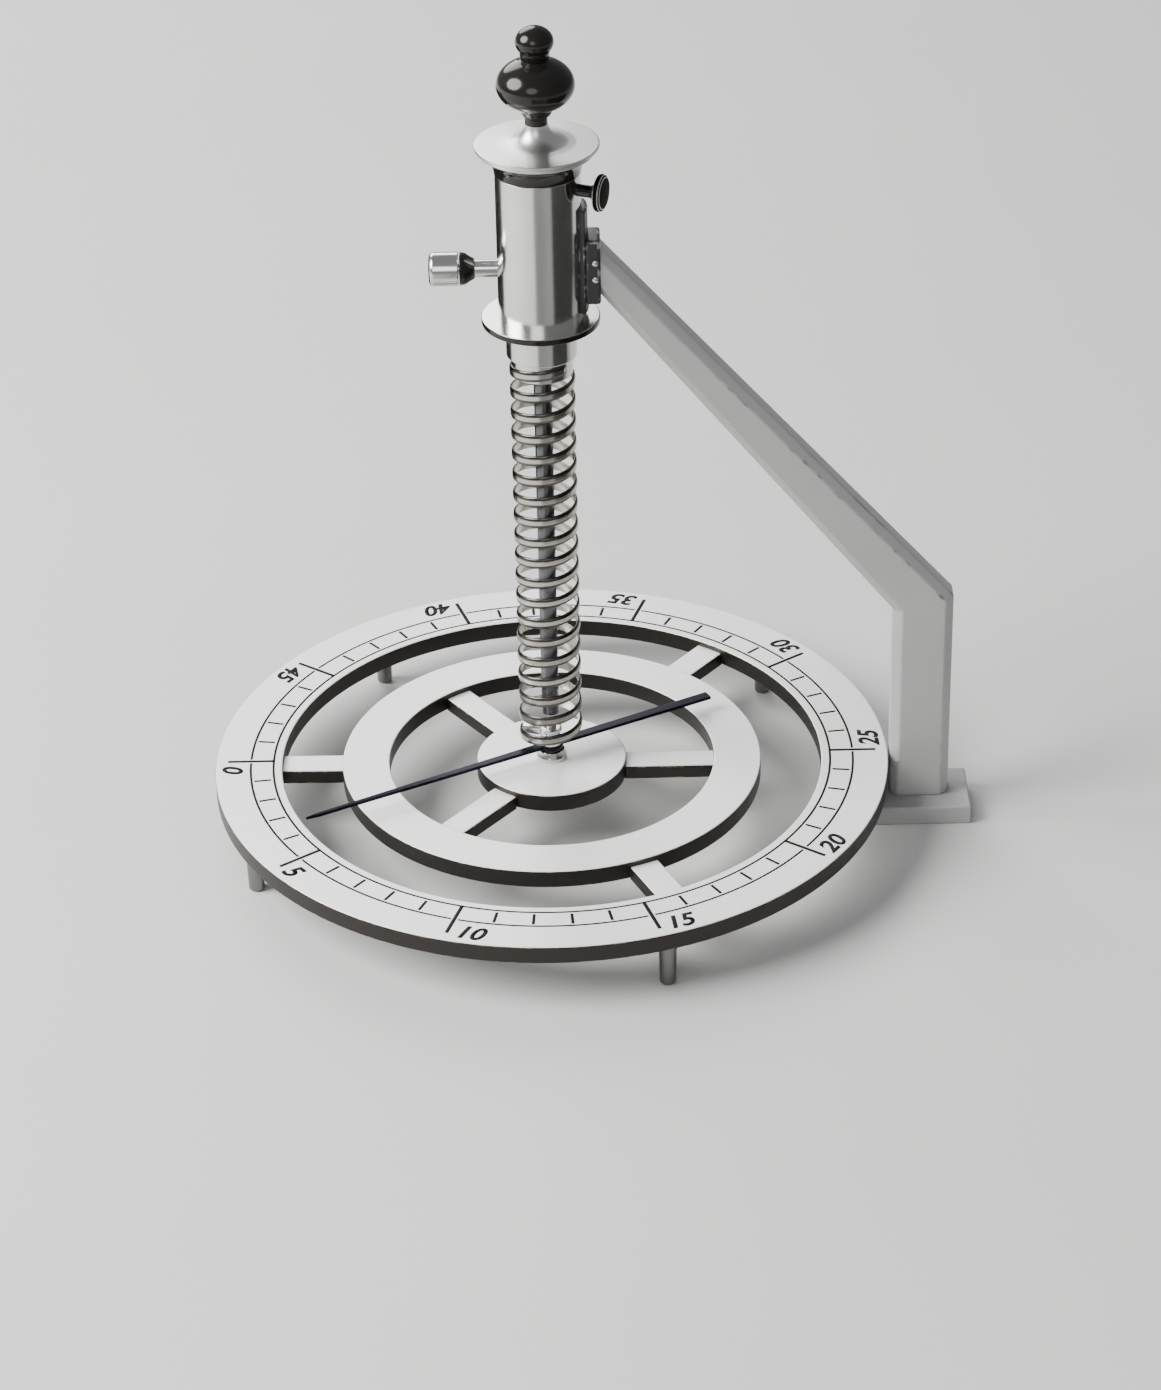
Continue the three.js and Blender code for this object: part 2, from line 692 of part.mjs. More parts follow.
// ---------------------------------------------------------------- needle and its pivot
const NEEDLE_TOP = NEEDLE_BOTTOM + NEEDLE_THICKNESS;
const CUP_BOTTOM = DIAL_TOP + GAP;
const CUP_TOP = CUP_BOTTOM + 2;
const JEWEL_RADIUS = 1.6;
const JEWEL_BOTTOM = CUP_BOTTOM + 0.9;
const JEWEL_TOP = JEWEL_BOTTOM + 0.9;
const DIMPLE_BOTTOM = JEWEL_BOTTOM + 0.3;
const STAFF_TIP = DIMPLE_BOTTOM + GAP;
const STAFF_TOP = GUIDE_ROD_BOTTOM + 5.6;
const HUB_TOP = above(8.3);
const HUB_RADIUS = 2.6;

function needle() {
  const tail = NEEDLE_TAIL_WIDTH / 2;
  const tip = NEEDLE_TIP_WIDTH / 2;
  const outline = [
    [-NEEDLE_TAIL, -tail],
    [0, -tail + 0.15],
    [NEEDLE_TIP - 3, -tip],
    [NEEDLE_TIP, 0],
    [NEEDLE_TIP - 3, tip],
    [0, tail - 0.15],
    [-NEEDLE_TAIL, tail],
  ];
  const blade = plate(outline, NEEDLE_BOTTOM, NEEDLE_TOP, 0.12);
  const eye = rod(NEEDLE_EYE_RADIUS, NEEDLE_BOTTOM, NEEDLE_TOP, 24);
  return cut(join(blade, eye), rod(STAFF_RADIUS + GAP, NEEDLE_BOTTOM - 1, NEEDLE_TOP + 1, 20));
}

// The staff: a fine point below, a round body through the hub, a slim guide pin above.
function needleStaff() {
  return turned(
    [
      [0, STAFF_TIP],
      [0.15, STAFF_TIP],
      [STAFF_RADIUS, STAFF_TIP + 1.5],
      [STAFF_RADIUS, HUB_TOP + 1.2],
      [STAFF_TOP_RADIUS, HUB_TOP + 1.5],
      [STAFF_TOP_RADIUS, STAFF_TOP],
      [0, STAFF_TOP],
    ],
    20,
  );
}

function pivotCup() {
  return turned([
    [0, CUP_BOTTOM],
    [CUP_RADIUS, CUP_BOTTOM],
    [CUP_RADIUS, CUP_BOTTOM + 0.6],
    [CUP_RADIUS - 0.5, CUP_TOP],
    [JEWEL_RADIUS + GAP, CUP_TOP],
    [JEWEL_RADIUS + GAP, JEWEL_BOTTOM - GAP],
    [0, JEWEL_BOTTOM - GAP],
  ], 28);
}

function pivotJewel() {
  return turned([
    [0, JEWEL_BOTTOM],
    [JEWEL_RADIUS, JEWEL_BOTTOM],
    [JEWEL_RADIUS, JEWEL_TOP],
    [JEWEL_RADIUS - 0.5, JEWEL_TOP],
    [0, DIMPLE_BOTTOM],
  ], 20);
}

place("pivot_cup", pivotCup(), nickelledBrass);
place("pivot_jewel", pivotJewel(), agate);
place("needle_staff", needleStaff(), brightSteel);
place("needle", needle(), bluedSteel).rotation.z = radians(NEEDLE_ANGLE);
place(
  "needle_hub",
  ring(HUB_RADIUS, STAFF_RADIUS + GAP, NEEDLE_TOP + GAP, HUB_TOP, 20),
  nickelledBrass,
);
place(
  "helix_foot",
  bar(HUB_RADIUS + GAP, INSIDE_HELIX, 2.2, above(6), above(8), 0.2),
  nickelledBrass,
).rotation.z = radians(HELIX_START);

export default galvanometer;
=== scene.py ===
"""A helix galvanometer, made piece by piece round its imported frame. Metres, +Z up."""

import math

import bmesh
import bpy
from mathutils import Matrix, Vector


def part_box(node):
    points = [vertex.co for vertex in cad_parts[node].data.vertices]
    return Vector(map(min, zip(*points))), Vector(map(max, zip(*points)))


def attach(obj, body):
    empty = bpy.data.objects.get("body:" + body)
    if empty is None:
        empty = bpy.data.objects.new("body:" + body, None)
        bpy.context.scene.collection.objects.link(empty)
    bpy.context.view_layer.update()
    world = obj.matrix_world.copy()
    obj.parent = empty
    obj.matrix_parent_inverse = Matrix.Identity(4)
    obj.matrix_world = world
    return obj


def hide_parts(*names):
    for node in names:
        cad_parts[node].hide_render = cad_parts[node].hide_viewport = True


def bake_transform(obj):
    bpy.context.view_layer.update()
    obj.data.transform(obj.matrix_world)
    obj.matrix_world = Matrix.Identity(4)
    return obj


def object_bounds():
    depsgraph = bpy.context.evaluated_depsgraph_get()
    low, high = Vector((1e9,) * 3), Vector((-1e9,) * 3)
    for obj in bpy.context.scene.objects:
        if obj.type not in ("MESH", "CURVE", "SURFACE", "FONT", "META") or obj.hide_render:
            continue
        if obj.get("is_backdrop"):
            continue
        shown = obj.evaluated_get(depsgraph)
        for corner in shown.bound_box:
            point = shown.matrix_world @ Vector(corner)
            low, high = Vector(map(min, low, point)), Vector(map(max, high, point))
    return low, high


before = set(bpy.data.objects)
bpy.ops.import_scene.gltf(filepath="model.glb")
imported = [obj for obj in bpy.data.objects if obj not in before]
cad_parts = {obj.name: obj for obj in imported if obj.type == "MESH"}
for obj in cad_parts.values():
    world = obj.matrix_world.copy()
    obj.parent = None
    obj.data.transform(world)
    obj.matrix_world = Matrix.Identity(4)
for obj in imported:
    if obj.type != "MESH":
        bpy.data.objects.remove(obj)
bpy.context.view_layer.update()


# ---------------------------------------------------------------- divided ring
# The dial's outer ring is cast in brass, turned flat on the lathe and silvered. It is
# divided in fifty parts, and its lines and numbers are engraved and filled with black wax.
MM = 0.001
MERGE = 0.0005 * MM  # points nearer than this are one
UP = Vector((0, 0, 1))

ring_low, ring_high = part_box("scale_ring")
dial_axis = Vector(((ring_low.x + ring_high.x) / 2, 0, 0))
dial_radius = (ring_high.x - ring_low.x) / 2
dial_top = ring_high.z
ring_bottom = ring_low.z
ring_hole = 0.80125 * dial_radius


class Shade:
    """One output of a finish's nodes. Sums and products of shades add Math nodes."""

    def __init__(self, finish, socket):
        self.finish = finish
        self.socket = socket

    def math(self, operation, *values, clamp=False):
        settings = {"operation": operation, "use_clamp": clamp}
        return self.finish.node("ShaderNodeMath", settings, dict(enumerate(values)))

    def __add__(self, other):
        return self.math("ADD", self, other)

    def __radd__(self, other):
        return self.math("ADD", other, self)

    def __sub__(self, other):
        return self.math("SUBTRACT", self, other)

    def __rsub__(self, other):
        return self.math("SUBTRACT", other, self)

    def __mul__(self, other):
        return self.math("MULTIPLY", self, other)

    def __rmul__(self, other):
        return self.math("MULTIPLY", other, self)

    def __pow__(self, other):
        return self.math("POWER", self, other)

    def above(self, level):
        return self.math("GREATER_THAN", self, level)

    def clamped(self):
        return self.math("ADD", self, 0.0, clamp=True)

    def dot(self, other):
        sockets = {0: self, 1: other}
        return self.finish.node("ShaderNodeVectorMath", {"operation": "DOT_PRODUCT"}, sockets, "Value")


class Finish:
    """A material on one Principled shader, whose nodes are added one at a time."""

    def __init__(self, name, **constants):
        self.material = bpy.data.materials.new(name)
        self.material.use_nodes = True
        self.tree = self.material.node_tree
        self.shader = self.tree.nodes["Principled BSDF"]
        for socket, value in constants.items():
            self.shader.inputs[socket.replace("_", " ")].default_value = value

    def node(self, kind, settings=None, sockets=None, output=0):
        made = self.tree.nodes.new(kind)
        for key, value in (settings or {}).items():
            setattr(made, key, value)
        for key, value in (sockets or {}).items():
            self.join(made.inputs[key], value)
        return Shade(self, made.outputs[output])

    def join(self, socket, value):
        if isinstance(value, Shade):
            self.tree.links.new(value.socket, socket)
        else:
            socket.default_value = value

    def set(self, socket, value):
        self.join(self.shader.inputs[socket], value)

    def place(self):
        return self.node("ShaderNodeTexCoord", output="Object")

    def height(self):
        return self.node("ShaderNodeSeparateXYZ", None, {0: self.place()}, 2)

    def noise(self, scale, detail=3.0, place=None):
        sockets = {"Vector": place or self.place(), "Scale": scale, "Detail": detail}
        return self.node("ShaderNodeTexNoise", None, sockets)

    def mix(self, factor, first, second):
        settings = {"data_type": "RGBA"}
        return self.node("ShaderNodeMix", settings, {0: factor, 6: first, 7: second}, 2)

    def wear(self):
        """1 on a piece's rubbed edges and 0 on its faces; on the ribbon it grades its painted shade,
        and on the clamp head it marks the painted highlight of its rim.
        """
        return self.node("ShaderNodeAttribute", {"attribute_name": "wear"}, output="Fac")

    def bump(self, height, depth):
        sockets = {"Height": height, "Distance": depth, "Strength": 1.0}
        self.set("Normal", self.node("ShaderNodeBump", None, sockets))

    def lathe_marks(self, centre, axis, pitch):
        """Fine rings round a turning axis, such as a lathe tool leaves."""
        offset = {"operation": "SUBTRACT"}
        centred = self.node("ShaderNodeVectorMath", offset, {0: self.place(), 1: tuple(centre)})
        along = centred.dot(tuple(axis))
        radius = (centred.dot(centred) - along * along) ** 0.5
        rings = self.node("ShaderNodeCombineXYZ", None, {0: radius, 1: along})
        return self.noise(1 / pitch, 2.0, rings)


def color(red, green, blue):
    return (red, green, blue, 1.0)


RAW_BRASS = color(0.62, 0.46, 0.22)
# Near-black painted shade for the sides of the silvered rings, disc and spokes.
PAINTED_SHADE_SIDE = color(0.035, 0.031, 0.028)
EDGE_DEPTH = 0.14 * MM  # how far the silvering comes down over an edge


def silvered(name, face):
    """Matt white silvering on the faces at that height; the sides below are painted near-black as
    painted shade, with real rubbed brass showing through.
    """
    finish = Finish(name)
    rings = finish.lathe_marks(dial_axis, UP, 0.3 * MM)
    grain = finish.noise(2600, 4.0)
    clouds = finish.noise(30, 4.0)
    upper = finish.height().above(face - EDGE_DEPTH)
    tarnish = ((clouds - 0.5) * 2.5).clamped() * 0.35
    rubbed = (finish.wear() * (finish.noise(420) - 0.5) * 3.0).clamped() * 0.6
    silver = finish.mix(grain, color(0.95, 0.945, 0.93), color(0.89, 0.885, 0.865))
    aged = finish.mix(tarnish, silver, color(0.83, 0.805, 0.74))
    # The sides take painted shade, broken by real rubbed brass.
    edge = finish.mix(rubbed, PAINTED_SHADE_SIDE, RAW_BRASS)
    finish.set("Base Color", finish.mix(upper, edge, aged))
    finish.set("Metallic", 0.75 - upper * 0.55)
    finish.set("Roughness", 0.3 + clouds * 0.08 + rings * 0.14)
    finish.bump(rings * 0.6 + grain * 0.4, 0.012 * MM)
    return finish.material


def soften(shape, width, sharpest=28.0, segments=3):
    """Rounds a shape's sharp edges by that width, and marks them as where it wears, and where the
    clamp head's painted highlight goes.
    """
    wear = shape.faces.layers.float.get("wear") or shape.faces.layers.float.new("wear")
    bmesh.ops.remove_doubles(shape, verts=shape.verts, dist=MERGE)
    bmesh.ops.recalc_face_normals(shape, faces=shape.faces)
    least = math.radians(sharpest)
    edges = [e for e in shape.edges if len(e.link_faces) == 2 and e.calc_face_angle() > least]
    rounded = bmesh.ops.bevel(
        shape,
        geom=edges,
        offset=width,
        offset_type="OFFSET",
        affect="EDGES",
        segments=segments,
        profile=0.5,
        material=-1,
        clamp_overlap=True,
    )
    for face in rounded["faces"]:
        face[wear] = 1.0
    return shape


def turned(profile, steps=128):
    """A profile of (radius, height) turned about the dial's axis; it closes on itself."""
    shape = bmesh.new()
    verts = [shape.verts.new(dial_axis + Vector((radius, 0, height))) for radius, height in profile]
    on_axis = profile[0][0] == 0
    pairs = list(zip(verts, verts[1:])) + ([] if on_axis else [(verts[-1], verts[0])])
    edges = [shape.edges.new(pair) for pair in pairs]
    bmesh.ops.spin(
        shape,
        geom=verts + edges,
        cent=dial_axis,
        axis=UP,
        angle=2 * math.pi,
        steps=steps,
        use_merge=True,
    )
    bmesh.ops.remove_doubles(shape, verts=shape.verts, dist=MERGE)
    bmesh.ops.recalc_face_normals(shape, faces=shape.faces)
    return shape


def ring_profile(inner, outer, bottom, top):
    return [(inner, bottom), (outer, bottom), (outer, top), (inner, top)]


def fit(name, shape, finish, body, nodes, second=None, where=None):
    """Makes a shape a piece that rides on a body, in place of its plain nodes.

    A second finish goes on the faces that where() picks.
    """
    for face in shape.faces:
        face.smooth = True
        face.material_index = int(bool(second) and where(face))
    mesh = bpy.data.meshes.new(name)
    shape.to_mesh(mesh)
    shape.free()
    mesh.materials.append(finish)
    if second:
        mesh.materials.append(second)
    made = bpy.data.objects.new(name, mesh)
    bpy.context.scene.collection.objects.link(made)
    made.modifiers.new("even_shading", "WEIGHTED_NORMAL").keep_sharp = True
    if body:
        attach(made, body)
    if nodes:
        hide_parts(*nodes)
    return made


silvered_face = silvered("silvered_dial", dial_top)
divided_ring = soften(
    turned(ring_profile(ring_hole, dial_radius, ring_bottom, dial_top), 192), 0.35 * MM
)
fit("divided_ring", divided_ring, silvered_face, "stand", ["scale_ring"])

DIVISIONS = 50
PER_NUMBER = 5
division = 2 * math.pi / DIVISIONS
WAX_PROUD = 0.03 * MM
WAX_DEEP = 0.25 * MM
INNER_LINE = 0.828 * dial_radius
SCALE_LINE = 0.8955 * dial_radius
SHORT_MARK = (0.837 * dial_radius, 0.887 * dial_radius)
LONG_MARK = (INNER_LINE, 0.965 * dial_radius)
LINE_WIDTH = 0.55 * MM
SHORT_MARK_WIDTH = LINE_WIDTH * 1.3
LONG_MARK_WIDTH = 0.9 * MM
LINE_BREAK = 0.011  # radians between the scale's line and each long mark
DIGIT_HEIGHT = 0.058 * dial_radius
DIGIT_FOOT = 0.977 * dial_radius
DIGIT_LEAD = math.radians(1.3)
DIGIT_SHARE = 0.7  # a digit's height as a share of its type's size
DIGIT_SLOPE = 0.22
DIGIT_BOLDNESS = 0.2 * MM


def black_wax():
    """Hard black sealing wax, rubbed down nearly flush and a little dusty."""
    finish = Finish("black_wax", IOR=1.2)
    dust = finish.noise(900, 4.0)
    dusty = color(0.016, 0.015, 0.014)
    finish.set("Base Color", finish.mix(dust * 0.6, color(0.004, 0.004, 0.004), dusty))
    finish.set("Roughness", 0.4 + dust * 0.25)
    finish.bump(dust, 0.01 * MM)
    return finish.material


def mark(shape, start, end, width, angle):
    """A straight cut along the dial's radius, filled with wax that stands a hair proud."""
    height = WAX_PROUD + WAX_DEEP
    middle = Vector(((start + end) / 2, 0, dial_top + WAX_PROUD - height / 2))
    turn = Matrix.Translation(dial_axis) @ Matrix.Rotation(angle, 4, "Z")
    size = Matrix.Diagonal((end - start, width, height, 1.0))
    bmesh.ops.create_cube(shape, size=1.0, matrix=turn @ Matrix.Translation(middle) @ size)


def line_section(radius):
    """The section of a line cut round the dial at that radius."""
    half = LINE_WIDTH / 2
    return ring_profile(radius - half, radius + half, dial_top - WAX_DEEP, dial_top + WAX_PROUD)


def curved_line(shape, radius, start, sweep):
    """A cut along part of a circle round the dial's axis."""
    turn = Matrix.Rotation(start, 3, "Z")
    corners = [dial_axis + turn @ Vector((r, 0, z)) for r, z in line_section(radius)]
    face = shape.faces.new([shape.verts.new(corner) for corner in corners])
    bmesh.ops.spin(shape, geom=[face], cent=dial_axis, axis=UP, angle=sweep, steps=24)


lines = bmesh.new()
for k in range(DIVISIONS):
    angle = math.pi + k * division
    if k % PER_NUMBER == 0:
        mark(lines, *LONG_MARK, LONG_MARK_WIDTH, angle)
        curved_line(lines, SCALE_LINE, angle + LINE_BREAK, PER_NUMBER * division - 2 * LINE_BREAK)
    else:
        mark(lines, *SHORT_MARK, SHORT_MARK_WIDTH, angle)
bmesh.ops.recalc_face_normals(lines, faces=lines.faces)
wax = black_wax()
fit("scale_lines", lines, wax, "stand", [])
fit("scale_inner_line", turned(line_section(INNER_LINE), 192), wax, "stand", [])


def number_mesh(words):
    """Numbers cut with a slight slope, made a mesh before they are placed."""
    curve = bpy.data.curves.new("number", "FONT")
    curve.body = words
    curve.size = DIGIT_HEIGHT / DIGIT_SHARE
    curve.shear = DIGIT_SLOPE
    curve.extrude = (WAX_PROUD + WAX_DEEP) / 2
    curve.offset = DIGIT_BOLDNESS
    curve.resolution_u = 6
    holder = bpy.data.objects.new("number", curve)
    bpy.context.scene.collection.objects.link(holder)
    bpy.context.view_layer.update()
    graph = bpy.context.evaluated_depsgraph_get()
    made = bpy.data.meshes.new_from_object(holder.evaluated_get(graph))
    bpy.data.objects.remove(holder)
    bpy.data.curves.remove(curve)
    return made


numbers = bmesh.new()
for k in range(0, DIVISIONS, PER_NUMBER):
    angle = math.pi + k * division + DIGIT_LEAD
    outward = Vector((math.cos(angle), math.sin(angle), 0))
    onward = Vector((-math.sin(angle), math.cos(angle), 0))
    foot = dial_axis + outward * DIGIT_FOOT + UP * (dial_top + (WAX_PROUD - WAX_DEEP) / 2)
    seat = Matrix((onward, -outward, UP)).transposed().to_4x4()
    digits = number_mesh(str(k))
    digits.transform(Matrix.Translation(foot) @ seat)
    numbers.from_mesh(digits)
    bpy.data.meshes.remove(digits)
bmesh.ops.remove_doubles(numbers, verts=numbers.verts, dist=MERGE)
bmesh.ops.recalc_face_normals(numbers, faces=numbers.faces)
fit("scale_numbers", numbers, wax, "stand", [])


# ---------------------------------------------------------------- inner ring, disc and spokes
# A second silvered ring and a centre disc carry the pivot. Flat brass spokes, set a little
# below the faces, are soldered between them.
def radius_of(node):
    low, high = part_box(node)
    return (high.x - low.x) / 2


inner_ring_outer = radius_of("inner_ring")
inner_ring_inner = 0.4825 * dial_radius
disc_radius = radius_of("centre_disc")
inner_ring = soften(
    turned(ring_profile(inner_ring_inner, inner_ring_outer, ring_bottom, dial_top), 160), 0.35 * MM
)
fit("silvered_inner_ring", inner_ring, silvered_face, "stand", ["inner_ring"])
disc_profile = [(0, ring_bottom), (disc_radius, ring_bottom), (disc_radius, dial_top), (0, dial_top)]
disc = soften(turned(disc_profile, 128), 0.4 * MM)
fit("silvered_disc", disc, silvered_face, "stand", ["centre_disc"])


def block(low, high, width, bottom, top):
    """A rectangular bar that starts and ends at those distances from the dial's axis."""
    size = Vector((high - low, width, top - bottom))
    middle = dial_axis + Vector(((low + high) / 2, 0, (bottom + top) / 2))
    shape = bmesh.new()
    place = Matrix.Translation(middle) @ Matrix.Diagonal((*size, 1.0))
    bmesh.ops.create_cube(shape, size=1.0, matrix=place)
    return shape


SOLDER = 0.5 * MM  # how far a spoke runs into the ring at each end
OUTER_SPOKE_WIDTH = 7.2 * MM
INNER_SPOKE_WIDTH = 6.8 * MM
# Their sides too take the silvering's painted shade.
silvered_spoke = silvered("silvered_spokes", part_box("outer_spoke_1")[1].z)


def spokes(prefix, start, end, width):
    """Bars between two rings, run into both so that no gap shows."""
    for i in (1, 2, 3):
        node = f"{prefix}_{i}"
        low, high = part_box(node)
        way = (low + high) / 2 - dial_axis
        shape = block(start - SOLDER, end + SOLDER, width, low.z, high.z)
        soften(shape, 0.5 * MM, segments=4)
        turn = Matrix.Rotation(math.atan2(way.y, way.x), 3, "Z")
        bmesh.ops.rotate(shape, cent=dial_axis, matrix=turn, verts=shape.verts)
        fit(f"silvered_{node}", shape, silvered_spoke, "stand", [node])


spokes("outer_spoke", inner_ring_outer, ring_hole, OUTER_SPOKE_WIDTH)
spokes("inner_spoke", disc_radius, inner_ring_inner, INNER_SPOKE_WIDTH)


# ---------------------------------------------------------------- feet
# Four slim turned brass legs, nickelled, screwed up into the divided ring. Each swells
# slightly to a collar under the ring and stands on a rounded toe.
def nickelled(name, centre, axis, rough=0.13, tone=1.0):
    """Polished nickel over brass, with lathe rings, smears and yellow rubbed edges."""
    finish = Finish(name, Metallic=1.0)
    rings = finish.lathe_marks(centre, axis, 0.22 * MM)
    smears = finish.noise(70, 5.0)
    specks = finish.noise(1500, 2.0)
    rubbed = (finish.wear() * (finish.noise(500) - 0.5) * 3.0).clamped() * 0.4
    fresh = color(0.70 * tone, 0.695 * tone, 0.68 * tone)
    dulled = color(0.58 * tone, 0.572 * tone, 0.555 * tone)
    plate = finish.mix(smears, fresh, dulled)
    pitted = finish.mix(((specks - 0.7) * 8.0).clamped() * 0.35, plate, color(0.28, 0.26, 0.23))
    finish.set("Base Color", finish.mix(rubbed, pitted, RAW_BRASS))
    finish.set("Roughness", rough + smears * 0.07 + rings * 0.05)
    finish.bump(rings, 0.0012 * MM)
    return finish.material


nickel = nickelled("nickel_column", dial_axis, UP)


def moved(shape, centre):
    """Carries a shape turned about the dial's axis to its own upright axis."""
    bmesh.ops.translate(shape, vec=Vector((centre.x, centre.y, 0)) - dial_axis, verts=shape.verts)
    return shape


for i in range(1, 5):
    low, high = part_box(f"foot_{i}")
    centre = (low + high) / 2
    foot_radius = (high.x - low.x) / 2
    leg = turned(
        [
            (0, low.z),
            (foot_radius * 0.62, low.z),
            (foot_radius * 0.74, low.z + 0.5 * MM),
            (foot_radius * 0.84, ring_bottom - 2.4 * MM),
            (foot_radius, ring_bottom - 1.4 * MM),
            (foot_radius, ring_bottom + 0.2 * MM),
            (0, ring_bottom + 0.2 * MM),
        ],
        48,
    )
    moved(soften(leg, 0.15 * MM), centre)
    # The legs' nickel is darkened to under a third of its tone as painted shade under the ring.
    shade_darkened_foot_nickel = nickelled(f"shade_darkened_nickel_foot_{i}", centre, UP, tone=0.3)
    fit(f"turned_leg_{i}", leg, shade_darkened_foot_nickel, "stand", [f"foot_{i}"])


# ---------------------------------------------------------------- base and its screws
# The bracket stands on a planed iron block, enamelled grey. Countersunk screws come up
# through it, one into the dial's ring and two into the bracket.
def enamelled(name, light=0.42):
    """Stoved enamel on cast iron, rubbed to bare metal along its edges."""
    finish = Finish(name)
    peel = finish.noise(900, 3.0)
    clouds = finish.noise(40, 5.0)
    chips = (finish.wear() * (finish.noise(330, 5.0) - 0.52) * 6.0).clamped()
    specks = ((finish.noise(1300, 3.0) - 0.72) * 9.0).clamped() * 0.5
    fresh = color(light, light, light * 0.985)
    faded = color(light * 0.86, light * 0.86, light * 0.845)
    dirty = finish.mix(specks, finish.mix(clouds, fresh, faded), color(0.08, 0.078, 0.075))
    finish.set("Base Color", finish.mix(chips, dirty, color(0.52, 0.51, 0.49)))
    finish.set("Metallic", chips * 0.9)
    finish.set("Roughness", 0.38 + clouds * 0.12 + specks * 0.2)
    finish.bump(peel * 0.7 + clouds * 0.3 - chips * 0.4, 0.03 * MM)
    return finish.material


enamel = enamelled("grey_enamel")
JOINT_GAP = 0.4 * MM  # how far a piece is grown across the gap to the one that it touches


def box_block(node, edge, grow=0.0):
    """A node's block with rounded edges; grow closes the gaps below and above it."""
    low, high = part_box(node)
    start = low.x - dial_axis.x
    end = high.x - dial_axis.x
    return soften(block(start, end, high.y - low.y, low.z - grow, high.z + grow), edge)


def drilled(shape, *tools):
    """The shape with each tool's shape cut out of it."""
    holders = []
    for part in (shape, *tools):
        mesh = bpy.data.meshes.new("cutting")
        part.to_mesh(mesh)
        part.free()
        holder = bpy.data.objects.new("cutting", mesh)
        bpy.context.scene.collection.objects.link(holder)
        holders.append(holder)
    for tool in holders[1:]:
        cutter = holders[0].modifiers.new("cut", "BOOLEAN")
        cutter.operation = "DIFFERENCE"
        cutter.solver = "EXACT"
        cutter.object = tool
    bpy.context.view_layer.update()
    graph = bpy.context.evaluated_depsgraph_get()
    cut = bpy.data.meshes.new_from_object(holders[0].evaluated_get(graph))
    result = bmesh.new()
    result.from_mesh(cut)
    for holder in holders:
        bpy.data.objects.remove(holder)
    bpy.data.meshes.remove(cut)
    return result


steel_screws = ("ring_screw", "bracket_screw_1", "bracket_screw_2")


def screw_centre(node):
    low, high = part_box(node)
    return (low + high) / 2


def countersink(node):
    low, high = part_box(node)
    head = (high.x - low.x) / 2
    wide = head * 1.08
    profile = [(0, -1 * MM), (wide, -1 * MM), (wide, low.z + 0.5 * MM), (0, low.z + head)]
    return moved(turned(profile, 40), screw_centre(node))


base = drilled(box_block("base_block", 0.45 * MM), *[countersink(node) for node in steel_screws])
fit("enamelled_base", base, enamel, "stand", ["base_block"])
spacer = box_block("ring_block", 0.3 * MM, JOINT_GAP)
fit("enamelled_spacer", spacer, enamel, "stand", ["ring_block"])


def bright(name, centre, axis, tone=1.0):
    """Turned steel, oiled, with a trace of rust bloom; a low tone darkens it as painted shade."""
    finish = Finish(name, Metallic=1.0)
    rings = finish.lathe_marks(centre, axis, 0.18 * MM)
    bloom = finish.noise(240, 5.0)
    rust = ((bloom - 0.62) * 5.0).clamped() * 0.4
    rusty = color(0.30 * tone, 0.20 * tone, 0.13 * tone)
    steel = color(0.62 * tone, 0.63 * tone, 0.64 * tone)
    finish.set("Base Color", finish.mix(rust, steel, rusty))
    finish.set("Roughness", 0.18 + bloom * 0.12 + rust * 0.3)
    finish.bump(rings, 0.005 * MM)
    return finish.material


SLOT_WIDTH = 0.55 * MM
SLOT_DEPTH = 0.7 * MM
for node in steel_screws:
    low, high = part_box(node)
    centre = screw_centre(node)
    head = (high.x - low.x) / 2
    shank = head * 0.48
    body = turned(
        [
            (0, low.z),
            (head, low.z),
            (head, low.z + 0.3 * MM),
            (shank, low.z + 0.3 * MM + head - shank),
            (shank, high.z),
            (0, high.z),
        ],
        40,
    )
    slot_cut = bmesh.new()
    size = Matrix.Diagonal((3 * head, SLOT_WIDTH, 2 * SLOT_DEPTH, 1.0))
    place = Matrix.Translation(dial_axis + UP * low.z)
    bmesh.ops.create_cube(slot_cut, size=1.0, matrix=place @ size)
    screw = moved(drilled(soften(body, 0.08 * MM, segments=2), slot_cut), centre)
    fit(f"slotted_{node}", screw, bright(f"steel_{node}", centre, UP), "stand", [node])


# ---------------------------------------------------------------- bracket
# One flat iron bar is bent at the elbow: an upright beside the dial and a sloping arm that
# reaches the column. Its long front edges are filed to flats, and its corners are eased,
# before it is enamelled.
bar_low, bar_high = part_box("bracket_bar")
bar_half = (bar_high.y - bar_low.y) / 2
bar_foot = bar_low.z - JOINT_GAP
arm_end = 13.1 * MM
arm_underside = dial_top + 122.3 * MM
upright_outside = bar_high.x - dial_axis.x
upright_inside = upright_outside - 14 * MM
elbow_outside = dial_top + 42.8 * MM
elbow_inside = dial_top + 39.1 * MM
outline = [
    (upright_inside, bar_foot),
    (upright_outside, bar_foot),
    (upright_outside, elbow_outside),
    (arm_end, bar_high.z),
    (arm_end, arm_underside),
    (upright_inside, elbow_inside),
]
CHAMFER = 1.9 * MM
NEAR = 0.01 * MM
bar = bmesh.new()
corners = [dial_axis + Vector((x, -bar_half, z)) for x, z in outline]
side = bar.faces.new([bar.verts.new(corner) for corner in corners])
across = bmesh.ops.extrude_face_region(bar, geom=[side])
moving = [part for part in across["geom"] if isinstance(part, bmesh.types.BMVert)]
bmesh.ops.translate(bar, vec=Vector((0, 2 * bar_half, 0)), verts=moving)
bmesh.ops.recalc_face_normals(bar, faces=bar.faces)


def long_front_edge(edge):
    """Whether an edge of the bar is in front, and is not across either of its ends."""
    ends = [vert.co for vert in edge.verts]
    across_arm = all(abs(co.x - dial_axis.x - arm_end) < NEAR for co in ends)
    across_foot = all(abs(co.z - bar_foot) < NEAR for co in ends)
    return all(co.y < 0 for co in ends) and not across_arm and not across_foot


